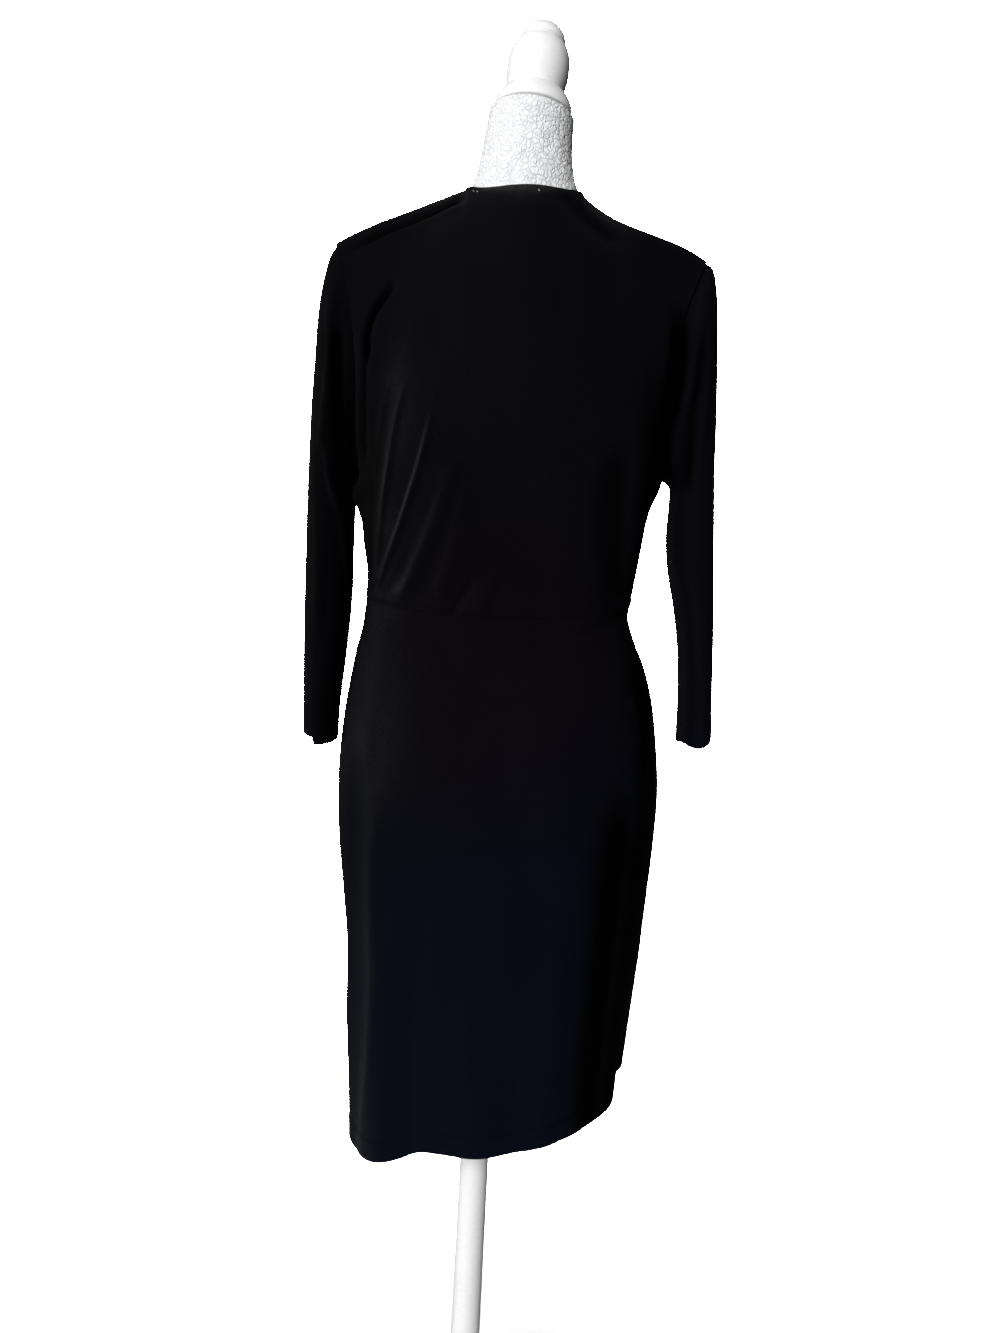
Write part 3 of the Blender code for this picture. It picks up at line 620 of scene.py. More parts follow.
def underarm_z(angle):
    return underarm_at(np.sin(np.radians(angle)))


def underarm_at(side):
    """The same at a side seam: 1 is the wearer's left and -1 the right."""
    return UNDERARM_Z - UNDERARM_TILT * side


def flute_at(face, angle, z):
    total = 0.0
    for flute in (flute for flute in FLUTES if flute.face == face):
        grown = ease((flute.top - z) / (flute.top - FLUTE_FOOT_Z))
        total = total + flute.height * grown * bell(angle - flute.angle, flute.width)
    return total


def smooth_line(places):
    """Many points on a smooth curve through a few."""
    places = np.array(places, float)
    t = np.linspace(0, len(places) - 1, FOLD_STEPS + 1)
    i = np.minimum(t.astype(int), len(places) - 2)
    return curve(places, np.gradient(places, np.arange(len(places)), axis=0), i, (t - i)[:, None])


def fold_height(fold, x, z):
    """The height of one fold at these places."""
    line = smooth_line(fold.places)
    a, step = line[:-1], np.diff(line, axis=0)
    spot = np.stack([x, z], axis=-1)[:, None, :] - a
    t = np.clip((spot * step).sum(-1) / (step**2).sum(-1), 0, 1)
    off = spot - t[..., None] * step
    distance = np.linalg.norm(off, axis=-1)
    best = distance.argmin(axis=1)
    rows = np.arange(len(x))
    distance = distance[rows, best]
    side = np.sign(off[rows, best, 0])
    along = (best + t[rows, best]) / FOLD_STEPS
    fade = ease(along / FOLD_IN) * ease((1 + FOLD_OUT / 2 - along) / FOLD_OUT)
    return fold.height * fade * bell(distance, fold.width * (1 - side * fold.lean))


def reached(some, face, grid):
    """Where each of some folds has any height on a grid of this face, and its height there."""
    x, z = grid[..., 0], grid[..., 2]
    for fold in some:
        if fold.face == face:
            xs, zs = np.array(fold.places, float).T
            near = FOLD_REACH * fold.width * (1 + abs(fold.lean))
            inside = (x > xs.min() - near) & (x < xs.max() + near)
            inside &= (z > zs.min() - near) & (z < zs.max() + near)
            yield inside, fold_height(fold, x[inside], z[inside])


def fold_at(face, grid, hollows_only=False):
    """The height of the folds on a grid: each is soft and fades at its ends."""
    total = np.zeros(grid.shape[:2])
    kept = [fold for fold in FOLDS if fold.height < 0 or not hollows_only]
    for inside, height in reached(kept, face, grid):
        total[inside] += height
    return total


def crease_shade_at(face, grid):
    """How deep each point lies in a hollow or shade band, from 0 to 1: its painted shade."""
    hollow = np.zeros(grid.shape[:2])
    deep = [fold for fold in FOLDS + PAINTED_SHADES if fold.height < -CREASE_FROM]
    for inside, height in reached(deep, face, grid):
        hollow[inside] = np.maximum(hollow[inside], -height / CREASE_FULL)
    return np.clip(hollow, 0, 1)


def ripple_at(x, z):
    waves = ((w.height, x / w.across + z / w.up, w.phase) for w in RIPPLES)
    return sum(height * np.sin(2 * math.pi * turns + phase) for height, turns, phase in waves)


def body_across(angle, reach, flare):
    """How far across a point lies. A flare of the reach fades from the edge to the middle."""
    across = reach_across(angle)
    return (reach - UNDERARM_LOCAL * flare * (1 - np.abs(across) ** 5)) * across


def tube_place(face, angle, z, depth_z, reach_z):
    """A point of the body's surface below the underarm."""
    flare = bell(reach_z - underarm_at(side_of(angle)), UNDERARM_OVER)
    across = body_across(angle, reach_side(angle, reach_z), flare)
    depth = through(depth_z, BODY, COLUMN[face])
    square = through(z, FLATS, "square") if face == BACK else ROUNDNESS
    return together(across, face * (SEAM / 2 + depth * reach_out(angle, square)), z)


def skirt_place(face, angle, share):
    """share runs from 0 at the waist seam to 1 at the hem."""
    hem = through(angle, HEM, COLUMN[face])
    z = mix(waist_z(face, angle), hem, share)
    return tube_place(face, angle, z, z, z)


def armhole_place(side, face, share):
    """The armhole's edge, from the underarm at 0 to the end of the shoulder at 1."""
    open_by = np.clip(4 * share * (1 - share), 0, 1)
    low_z = underarm_at(side)
    x = mix(reach_side(side, low_z), SHOULDER_X, share**2) - ARMHOLE_BOW * open_by**2
    depth = ARMHOLE_REACH[face] * open_by**ARMHOLE_SQUARE
    depth = depth - ARMHOLE_SINK[face] * open_by * bell(share - ARMHOLE_SINK_AT, ARMHOLE_SINK_OVER)
    return together(side * x, face * (SEAM / 2 + depth), mix(low_z, SHOULDER_Z, share))


def top_of(face, x, near):
    """Depth and height of the neckline and the shoulder seam above this place.

    They are exact where near is 1, and have their corners smoothed away where it is 0.
    """
    share = np.clip((np.abs(x) - NECK_X) / (SHOULDER_X - NECK_X), 0, 1)
    sag, rise = (np.where(x > 0, by[1], by[-1]) * PEAK for by in (SHOULDER_SAG, SHOULDER_RISE))
    inside = np.clip((x / NECK_X) ** 2, 0, 1)
    soft = np.exp(-NECK_FALL * (x / NECK_X) ** 2)
    depth = NECK_BACK_Y * mix(soft, np.sqrt(1 - inside), near) if face == BACK else 0.0 * x
    neck = NECK_POINT_Z + 0.0 * x
    if face == BACK:
        neck = mix(NECK_BACK_Z, NECK_POINT_Z, inside**NECK_SHAPE) - NECK_TILT * x * (1 - inside)
    shoulder = mix(NECK_POINT_Z, SHOULDER_Z, share)
    shoulder = shoulder - sag * share * (1 - share) ** 2 + rise * share**2 * (1 - share)
    exact = np.where(np.abs(x) >= NECK_X, shoulder, neck)
    carried = shoulder + NECK_SLOPE * np.maximum(NECK_X - np.abs(x), 0)
    dip = NECK_BACK_Z if face == BACK else NECK_POINT_Z - NECK_SOFT
    bowl = dip + (NECK_POINT_Z - dip) * (x / NECK_X) ** 2
    smooth = -NECK_SOFT * np.logaddexp(-carried / NECK_SOFT, -bowl / NECK_SOFT)
    return depth, mix(smooth, exact, near)


def yoke_place(face, angle, share):
    """A point above the underarm: share is 0 there and 1 at the shoulder seam."""
    edge = armhole_place(side_of(angle), face, share)
    across = body_across(angle, np.abs(edge[..., 0]), (1 - share) ** 3)
    top_depth, top_z = top_of(face, across, ease((share - NECK_LOCAL) / (1 - NECK_LOCAL)))
    middle = through(share, YOKE, COLUMN[face])
    rounding = np.sqrt(1 - share**SHOULDER_ROUND)
    depth = mix(top_depth, middle, rounding)
    square = through(share, YOKE, "square")
    if face == BACK:
        square = square + YOKE_FOOT_SQUARE * (1 - share) ** 2 + YOKE_TOP_SQUARE * share
    edge_depth = np.abs(edge[..., 1])
    full = reach_out(angle, square)
    flared = (1 - np.abs(reach_across(angle)) ** 3) ** 1.5
    full = mix(full, flared, ease((share - FLARE_FROM) / FLARE_OVER))
    local = (1 - full) ** (1 + ARMHOLE_LOCAL * (1 - share) ** 4)
    y = edge_depth * local + (depth + SEAM / 2) * full
    y = y + (SHOULDER_GAP - SEAM) / 2 * share**6
    return together(across, face * y, mix(underarm_z(angle), top_z, share))


def bodice_place(face, angle, height):
    """height is 0 at the waist seam, 1 at the underarm and 2 at the shoulder seam."""
    below = np.clip(height, 0, 1)
    z = mix(waist_z(face, angle), underarm_z(angle), below)
    level = underarm_at(side_of(angle)) - underarm_z(angle)
    low = tube_place(face, angle, z, mix(WAIST_Z, UNDERARM_Z, below), z + level * below**4)
    high = yoke_place(face, angle, np.clip(height - 1, 0, 1))
    return np.where((height > 1)[..., None], high, low)


def lengths(grid, axis):
    """How far each point of a grid is along its row or column, and how long that is."""
    steps = np.linalg.norm(np.diff(grid, axis=axis), axis=-1)
    run = np.insert(np.cumsum(steps, axis=axis), 0, 0, axis=axis)
    whole = run[:, -1:] if axis == 1 else run[-1:]
    return run, whole


def outward(grid, closed):
    """The directions in which a grid of points faces, away from its middle."""
    if closed:
        across = np.roll(grid, -1, axis=1) - np.roll(grid, 1, axis=1)
    else:
        across = np.gradient(grid, axis=1)
    normal = np.cross(across, np.gradient(grid, axis=0))
    normal /= np.maximum(np.linalg.norm(normal, axis=-1, keepdims=True), 1e-9)
    middle = grid.mean(axis=1, keepdims=True)
    middle[..., 1] = 0
    facing = (normal * (grid - middle)).sum()
    return normal if facing > 0 else -normal


def edge_relief(distance, kind):
    """How an edge of this kind is raised or sunk at a distance from it."""
    if kind in SEAM_TURN:
        return -SEAM_TURN[kind] * bell(distance, SEAM_SOFT)
    wide = HEMS[kind]
    relief = HEM_RAISE * ease((wide - distance) / HEM_STEP)
    relief = relief - STITCH_DEEP * bell(distance - wide + STITCH_IN, STITCH_WIDE)
    return relief - EDGE_TURN * bell(distance, EDGE_SOFT)


def dressed(grid, out, edges, closed=False):
    """The grid moved out by its folds and by the relief along its four edges."""
    run, whole = lengths(grid, 0)
    side_run, side_whole = lengths(grid, 1)
    distances = {"start": run, "end": whole - run, "first": side_run, "last": side_whole - side_run}
    for where, kind in edges.items():
        out = out + edge_relief(distances[where], kind)
    return grid + outward(grid, closed) * out[..., None]


def spread(start, end, count, ends=(), dense=None):
    """Values from start to end, with a few more close to either end.

    They are even, or up to three times as close together round a place of some width.
    """
    values = np.linspace(start, end, count + 1)
    if dense:
        fine = np.linspace(start, end, 2001)
        weight = 1 + 2 * bell(fine - dense[0], dense[1])
        run = np.cumsum(weight) - weight[0]
        values = np.interp(np.linspace(0, run[-1], count + 1), run, fine)
    values = list(values)
    for share in ends:
        values += [mix(start, end, share), mix(end, start, share)]
    return np.array(sorted(set(values), reverse=start > end))


# --- Blender objects ---


def object_of(name, mesh, look):
    made = bpy.data.objects.new(name, mesh)
    bpy.context.scene.collection.objects.link(made)
    made.data.materials.append(look)
    return made


def grid_mesh(name, grid, closed=False):
    """Quads between rows of points, with a map of their lengths in millimetres."""
    rows, columns = grid.shape[:2]
    wide = columns if closed else columns - 1
    r, c = np.meshgrid(np.arange(rows - 1), np.arange(wide), indexing="ij")
    d = (c + 1) % columns
    low, high = r * columns, (r + 1) * columns
    quads = np.stack([low + c, low + d, high + d, high + c], -1)
    mesh = bpy.data.meshes.new(name)
    mesh.from_pydata((grid.reshape(-1, 3) * MM).tolist(), [], quads.reshape(-1, 4).tolist())
    mesh.shade_smooth()
    across = lengths(grid, 1)[0].mean(axis=0)
    along = lengths(grid, 0)[0].mean(axis=1)
    across = np.append(across, across[-1] + across[1])
    corners_u = np.stack([across[c], across[c + 1], across[c + 1], across[c]], -1)
    corners_v = np.stack([along[r], along[r], along[r + 1], along[r + 1]], -1)
    cloth_map = mesh.uv_layers.new(name="cloth")
    cloth_map.data.foreach_set("uv", np.stack([corners_u, corners_v], -1).ravel())
    return mesh


def cloth_piece(piece, grid, fabric, crease, edges, closed=False):
    """A piece of the dress, with its stitches, that takes the place of its solid."""
    name = piece + "_cloth"
    mesh = grid_mesh(name, grid, closed)
    limp = np.ones(grid.shape[:2]) if closed else limpness(grid)
    # The painted shade of the hollows goes with the cloth, and so does the limpness that roughens
    # it.
    for kind, values in (("crease", crease), ("limp", limp)):
        mesh.attributes.new(kind, "FLOAT", "POINT").data.foreach_set("value", values.ravel())
    made = object_of(name, mesh, fabric.jersey)
    wall = made.modifiers.new("wall", "SOLIDIFY")
    wall.thickness = WALL * MM
    wall.offset = 0
    made.modifiers.new("sharp rims", "EDGE_SPLIT").split_angle = math.radians(60)
    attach(made, "root")
    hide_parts(piece)
    sewn = hem_stitches(piece, grid, edges, fabric, closed)


def hem_stitches(piece, grid, edges, fabric, closed):
    """The rows of stitches inside the piece's turned hems, and the tacks at the neck."""
    out = outward(grid, closed)
    made = []
    hems = [(where, kind) for where, kind in edges.items() if kind in HEMS]
    rows = [stitch_row(grid, out, where, kind, closed) for where, kind in hems]
    if rows:
        ends, facing = (np.concatenate(part) for part in zip(*rows))
        made.append(stitch_piece(piece + "_stitches", ends, facing, fabric.thread))
    if "neck" in edges.values():
        near = [np.abs(grid[..., ::2] - np.array(place)).sum(-1).argmin() for place in TACKS]
        spots, facing = grid.reshape(-1, 3)[near], out.reshape(-1, 3)[near]
        half = np.array([TACK_LONG / 2, 0, TACK_LONG / 2])
        ends = np.stack([spots - half, spots + half], axis=1)
        made.append(stitch_piece(piece + "_tacks", ends, facing, fabric.tack, TACK_THICK))
    return made


def stitch_row(grid, out, where, kind, closed):
    """The two ends of each stitch along an edge's hem, and the way each faces."""
    if where == "last":
        grid, out = grid.swapaxes(0, 1), out.swapaxes(0, 1)
    run, whole = lengths(grid, 0)
    deep = HEMS[kind] - STITCH_IN
    columns = np.arange(grid.shape[1])
    if kind == "neck":
        columns = columns[np.abs(grid[-1, :, 0]) < NECK_X - STITCH_IN]
    at = np.array([np.interp(whole[0, c] - deep, run[:, c], np.arange(len(run))) for c in columns])
    if closed:
        at, columns = np.append(at, at[0]), np.append(columns, columns[0])
    i = np.minimum(at.astype(int), len(grid) - 2)
    line = mix(grid[i, columns], grid[i + 1, columns], (at - i)[:, None])
    faces = out[i, columns]
    along = lengths(line[None], 1)[0][0]
    middle = np.arange(STITCH_PITCH / 2, along[-1] - STITCH_PITCH / 2, STITCH_PITCH)
    reach = [middle - STITCH_LONG / 2, middle + STITCH_LONG / 2]
    ends = np.stack([[np.interp(r, along, line[:, n]) for n in range(3)] for r in reach])
    facing = np.stack([np.interp(middle, along, faces[:, n]) for n in range(3)], -1)
    return ends.transpose(2, 0, 1), facing


def stitch_piece(name, ends, facing, look, thick=STITCH_THICK):
    """Short bars half sunk in the cloth's outer face, one for each stitch."""
    facing = facing / np.linalg.norm(facing, axis=-1, keepdims=True)
    side = np.cross(ends[:, 1] - ends[:, 0], facing)
    side *= thick / 2 / np.linalg.norm(side, axis=-1, keepdims=True)
    corners = [
        ends[:, end] + across + facing * (WALL + lift) / 2
        for end in (0, 1)
        for across in (-side, side)
        for lift in (-thick, thick)
    ]
    corners = np.stack(corners, axis=1).reshape(-1, 3)
    sides = [(0, 1, 3, 2), (4, 6, 7, 5), (0, 4, 5, 1), (2, 3, 7, 6), (0, 2, 6, 4), (1, 5, 7, 3)]
    faces = (np.arange(len(ends))[:, None, None] * 8 + np.array(sides)).reshape(-1, 4)
    mesh = bpy.data.meshes.new(name)
    mesh.from_pydata((corners * MM).tolist(), [], faces.tolist())
    made = object_of(name, mesh, look)
    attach(made, "root")
    return made


def limpness(grid):
    """Where the dress isn't drawn over the form: the bodice's sides, the hips and the front."""
    x, z = np.abs(grid[..., 0]), grid[..., 2]
    yoke = LIMP_YOKE * ease((z - LIMP_YOKE_Z) / LIMP_UP)
    beside = ease((x - LIMP_FROM_X + yoke) / (LIMP_OVER + yoke))
    hips = LIMP_HALF * ease((z - LIMP_FROM_Z) / LIMP_UP)
    below = ease((x - LIMP_SKIRT_X) / LIMP_OVER / 2) * ease((LIMP_FROM_Z + LIMP_UP - z) / LIMP_UP)
    behind = np.where(z > WAIST_Z, beside, np.maximum(hips, below))
    return np.where(grid[..., 1] > 0, behind, np.maximum(behind, LIMP_HALF))


def near_seam(angles, over):
    """From 0 at a side seam to 1 this many degrees away from it."""
    return ease((90 - np.abs(angles)) / over)


def bodice_grid(face, angles, heights, inset=0.0):
    grid = bodice_place(face, angles, heights)
    kept = near_seam(angles, SEAM_FADE) * ease((2 - heights) / TOP_FADE)
    roll = WAIST_ROLL + WAIST_ROLL_MORE * np.abs(reach_across(angles)) ** 3
    roll = roll * bell(heights - WAIST_ROLL_AT, WAIST_ROLL_AT) * ease(heights / WAIST_ROLL_AT)
    joined = near_seam(angles, SEAM_JOIN) * ease((2 - heights) / SHOULDER_JOIN)
    relief = fold_at(face, grid, inset > 0) + ripple_at(grid[..., 0], grid[..., 2])
    return grid, relief * kept + roll - inset * joined


def skirt_grid(face, angles, shares, inset=0.0):
    grid = skirt_place(face, angles, shares)
    x, z = grid[..., 0], grid[..., 2]
    folded = fold_at(face, grid, inset > 0) * ease(shares / WAIST_FADE)
    relief = flute_at(face, angles, z) + folded + ripple_at(x, z)
    return grid, relief * near_seam(angles, SEAM_FADE) - inset * near_seam(angles, SEAM_JOIN)


def build_bodice(fabric):
    wide, high = BODICE_POINTS[BACK]
    angles = spread(-90, 90, wide, CLOSE, FOLDS_ROUND["bodice"])
    angles, levels = np.meshgrid(angles, spread(0, 2, high, BODICE_CLOSE))
    grid, out = bodice_grid(BACK, angles, levels)
    grid = dressed(grid, out + neck_relief(grid), {"start": "waist"})
    cloth_piece("bodice_back", grid, fabric, crease_shade_at(BACK, grid), {"end": "neck"})
    wide, high = BODICE_POINTS[FRONT]
    edges = {"start": "waist", "end": "seam", "last": "wrap"}
    for side, name, inset in ((-1, "bodice_front_right", 0), (1, "bodice_front_left", LAYER)):
        shares, levels = np.meshgrid(spread(0, 1, wide, CLOSE), spread(0, 2, high, CLOSE))
        angles = mix(-90, through(levels, WRAP_EDGE, "angle"), shares) * -side
        sewn_panel(name, FRONT, bodice_grid(FRONT, angles, levels, inset), edges, fabric)


def sewn_panel(name, face, made, edges, fabric):
    grid, out = made
    cloth_piece(name, dressed(grid, out, edges), fabric, crease_shade_at(face, grid), edges)


def neck_relief(grid):
    """The top edge of the back: a hem at the neck and a seam on each shoulder."""
    run, whole = lengths(grid, 0)
    hem = ease((NECK_X - np.abs(grid[-1:, :, 0])) / 2)
    return mix(edge_relief(whole - run, "seam"), edge_relief(whole - run, "neck"), hem)


def build_skirt(fabric):
    wide, high = SKIRT_POINTS
    shares = spread(0, 1, high, SKIRT_CLOSE)
    edges = {"start": "waist", "end": "skirt", "first": "seam", "last": "seam"}
    angles = spread(-90, 90, wide, CLOSE, FOLDS_ROUND["skirt"])
    angles, levels = np.meshgrid(angles, shares)
    sewn_panel("skirt_back", BACK, skirt_grid(BACK, angles, levels), edges, fabric)

    edges["last"] = "wrap"
    across, levels = np.meshgrid(spread(0, 1, SKIRT_OVER_POINTS, CLOSE), shares)
    angles = mix(-90, SKIRT_OVER_END, across)
    past = np.clip((across - 1 + CORNER_SHARE) / CORNER_SHARE, 0, 1)
    long = WAIST_Z - through(angles, HEM, "front")
    kept = 1 - CORNER_RISE / long * (1 - np.sqrt(1 - past**2))
    sewn_panel("skirt_front_right", FRONT, skirt_grid(FRONT, angles, levels * kept), edges, fabric)

    across, levels = np.meshgrid(spread(0, 1, SKIRT_UNDER_POINTS, CLOSE), shares)
    under = skirt_grid(FRONT, mix(90, SKIRT_UNDER_END, across), levels, SKIRT_LAYER)
    sewn_panel("skirt_front_left", FRONT, under, edges, fabric)


def sleeve_grid(side):
    """Rings from the armhole to the cuff, each starting at the underarm, going by the back."""
    turn = np.linspace(0, 2 * math.pi, SLEEVE_POINTS[0] + 1)[:-1]
    share = (1 - np.cos(turn)) / 2
    swing = np.sin(turn)
    behind, ahead = (armhole_place(side, face, share) for face in (BACK, FRONT))
    hole = np.where((swing >= 0)[:, None], behind, ahead)
    hole[:, 1] = np.where(np.abs(swing) < 1e-9, 0, hole[:, 1])
    hole[:, 0] -= side * SLEEVE_TUCK
    hole[:, 1] -= SLEEVE_SUNK * swing
    out_column, in_column = ("left_out", "left_in") if side > 0 else ("right_out", "right_in")
    rings = [hole]
    for ring in SLEEVE:
        tilted = ease((ring.out_z - TILT_LOW_Z) / (TILT_HIGH_Z - TILT_LOW_Z))
        raised = (underarm_at(side) - underarm_at(1)) * tilted
        dropped = CUFF_DROP[side] * ease((ELBOW_Z - ring.out_z) / FOREARM)
        z = mix(ring.in_z + raised, ring.out_z, share) - dropped
        reach = np.where(swing > 0, ring.back, ring.front)
        y = np.sign(swing) * reach * np.abs(swing) ** SLEEVE_ROUND[side]
        x = mix(getattr(ring, in_column), getattr(ring, out_column), share)
        x = x - ring.bow * swing**2 - SLEEVE_TURN[side] * ring.twist * y
        rings.append(together(side * x, y, z))
    rings[-1][:, 2] -= CUFF_BELLY[side] * swing**2 + CUFF_TILT[side] * (1 - share)
    rings[-1][:, 2] += CUFF_STEP[side] * ease((share - CUFF_STEP_AT) / CUFF_STEP_OVER)
    return np.array(rings), swing


def finer(rings, count):
    """More rings, on smooth curves through the given ones."""
    at = spread(0, len(rings) - 1, count, CUFF_CLOSE)
    i = np.minimum(at.astype(int), len(rings) - 2)
    spans = np.linalg.norm(np.diff(rings, axis=0), axis=-1).mean(axis=1)
    slopes = np.gradient(rings, np.insert(np.cumsum(spans), 0, 0), axis=0)
    return curve(rings, slopes, i, (at - i)[:, None, None], spans[i][:, None, None])


def build_sleeves(fabric):
    for side, name in ((1, "sleeve_left"), (-1, "sleeve_right")):
        rings, swing = sleeve_grid(side)
        grid = finer(rings, SLEEVE_POINTS[1])
        folded = np.where(swing > 0, fold_at(BACK, grid), fold_at(FRONT, grid))
        shaded_creases = np.where(swing > 0, crease_shade_at(BACK, grid), crease_shade_at(FRONT, grid))
        ripples = ripple_at(grid[..., 0] + grid[..., 1], grid[..., 2])
        out = folded * np.abs(swing) ** SLEEVE_FLAT + ripples
        out = out * ease(lengths(grid, 0)[0] / SLEEVE_HEAD)
        edges = {"end": "cuff"}
        grid = dressed(grid, out, edges, closed=True)
        # the painted shade fades out where the rings' back and front halves meet
        shaded_creases = shaded_creases * ease(np.abs(swing) / 0.5)
        cloth_piece(name, grid, fabric, shaded_creases, edges, closed=True)


def build_form(cover):
    """The limbless torso, with the cover's crinkles on its neck."""
    rings = sorted(FORM_LEVELS.union(ring.z for ring in FORM))
    turns = np.linspace(0, 2 * math.pi, FORM_POINTS + 1)[:-1]
    levels, turn = np.meshgrid(rings, turns, indexing="ij")
    c, s = np.cos(turn), np.sin(turn)
    square, side, rise = (through(levels, FORM, name) for name in ("square", "side", "rise"))
    depth = np.where(s > 0, through(levels, FORM, "back"), through(levels, FORM, "front"))
    x = through(levels, FORM, "middle") + side * np.sign(c) * np.abs(c) ** (2 / square)
    y = depth * np.sign(s) * np.abs(s) ** (2 / square)
    grid = together(x, y, levels + rise * side * c)
    grid = grid + outward(grid, True) * crinkles(grid)[..., None]
    mesh = grid_mesh("form_torso_cover", grid, closed=True)
    shape = bmesh.new()
    shape.from_mesh(mesh)
    shape.verts.ensure_lookup_table()
    shape.faces.new(shape.verts[:FORM_POINTS])
    shape.faces.new(shape.verts[-FORM_POINTS:])
    bmesh.ops.recalc_face_normals(shape, faces=shape.faces[:])
    shape.to_mesh(mesh)
    shape.free()
    made = object_of("form_torso_cover", mesh, cover)
    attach(made, "root")
    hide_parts("form_torso")


def crinkles(grid):
    """Small sharp wrinkles of the cover, only where it shows."""
    heights = np.zeros(grid.shape[:2])
    for r, c in np.argwhere(grid[..., 2] > CRINKLE_FROM_Z):
        spot = Vector(grid[r, c]) / CRINKLE_SIZE
        heights[r, c] = noise.ridged_multi_fractal(spot, *CRINKLE_KIND) - CRINKLE_MEAN
    shown = ease((grid[..., 2] - CRINKLE_FROM_Z) / 8) * ease((CRINKLE_TO_Z - grid[..., 2]) / 3)
    return heights * CRINKLE_DEEP * shown


def turned(name, profile, look):
    """A profile of (radius, height), from top to bottom, turned about Z."""
    points = [(r * MM, 0, z * MM) for r, z in profile]
    mesh = bpy.data.meshes.new(name)
    mesh.from_pydata(points, [(n, n + 1) for n in range(len(points) - 1)], [])
    made = object_of(name, mesh, look)
    screw = made.modifiers.new("turn", "SCREW")
    screw.steps = TURNED_STEPS
    screw.render_steps = TURNED_STEPS
    screw.use_merge_vertices = True
    screw.merge_threshold = 0.00001
    screw.use_smooth_shade = True
    return made


def rounded(profile, radius):
    """The profile with the corners between its ends rounded by short curves."""
    points = [np.array(p, float) for p in profile]
    made = [points[0]]
    for before, corner, after in zip(points, points[1:], points[2:]):
        to_before, to_after = before - corner, after - corner
        long_before, long_after = np.linalg.norm(to_before), np.linalg.norm(to_after)
        near = min(radius, long_before * CORNER_MOST, long_after * CORNER_MOST)
        start = corner + to_before / long_before * near
        end = corner + to_after / long_after * near
        for t in np.linspace(0, 1, CORNER_POINTS):
            made.append((1 - t) ** 2 * start + 2 * t * (1 - t) * corner + t**2 * end)
    made.append(points[-1])
    return made


def build_cap(lacquer):
    tilt = math.radians(-CAP_LEAN)
    cap = turned("neck_cap_turned", rounded(CAP_PROFILE, 2), lacquer)
    knob = turned("finial_turned", rounded(KNOB_PROFILE, 4), lacquer)
    seat = Vector(CAP_SEAT)
    rise = Vector((math.sin(tilt), 0, math.cos(tilt))) * KNOB_SEAT
    middle = seat + rise * (1 + KNOB_TURN_AT / KNOB_SEAT)
    knob_tilt = math.radians(-KNOB_LEAN)
    foot = middle - Vector((math.sin(knob_tilt), 0, math.cos(knob_tilt))) * KNOB_TURN_AT
    for piece, place, lean in ((cap, seat, tilt), (knob, foot, knob_tilt)):
        piece.location = place * MM
        piece.rotation_euler.y = lean
        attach(piece, "root")
    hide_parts("neck_cap")
    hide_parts("finial")


def build_stand(paint):
    low, high = (corner.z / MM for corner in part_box("stand_pole"))
    profile = [(0, high), (POLE_RADIUS, high), (POLE_RADIUS, low), (0, low)]
    pole = turned("stand_pole_turned", rounded(profile, 0.6), paint)
    base = turned("stand_base_turned", rounded(BASE_PROFILE, 1.2), paint)
    for piece, node in ((pole, "stand_pole"), (base, "stand_base")):
        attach(piece, "root")
        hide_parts(node)


# --- materials ---


class Nodes:
    """Short calls for the nodes of a material or a world."""

    def __init__(self, tree):
        self.nodes, self.links = tree.nodes, tree.links

    def feed(self, value, socket):
        """Another node's output is linked to the socket, and anything else is set on it."""
        if isinstance(value, bpy.types.NodeSocket):
            self.links.new(value, socket)
        else:
            socket.default_value = value

    def node(self, kind, *values, settings=None, **inputs):
        """A new node, with values for its first sockets and for those that are named."""
        made = self.nodes.new("ShaderNode" + kind)
        for name, value in (settings or {}).items():
            setattr(made, name, value)
        for socket, value in zip(made.inputs, values):
            self.feed(value, socket)
        for name, value in inputs.items():
            self.feed(value, made.inputs[name.replace("_", " ")])
        return made

    def ranged(self, value, low, high, to_low=0.0, to_high=1.0, **settings):
        """The value carried from one range over to another, and held at its ends."""
        ends = (low, high, to_low, to_high)
        return self.node("MapRange", value, *ends, settings=settings).outputs["Result"]

    def maths(self, operation, *values):
        return self.node("Math", *values, settings={"operation": operation}).outputs[0]

    def vector(self, operation, *values, **inputs):
        made = self.node("VectorMath", *values, settings={"operation": operation}, **inputs)
        return made.outputs["Value" if operation == "LENGTH" else "Vector"]

    def blend(self, factor, a, b):
        made = self.node("Mix", settings={"data_type": "RGBA"})
        for name, value in (("Factor", factor), ("A", a), ("B", b)):
            value = (*value, 1) if isinstance(value, tuple) else value
            self.feed(value, next(s for s in made.inputs if s.name == name and s.enabled))
        return next(s for s in made.outputs if s.enabled)

    def ramp(self, factor, *stops):
        made = self.node("ValToRGB", factor)
        elements = made.color_ramp.elements
        while len(elements) < len(stops):
            elements.new(1.0)
        for element, (at, colour) in zip(elements, stops):
            element.position = at
            element.color = (*colour, 1)
        return made.outputs["Color"]


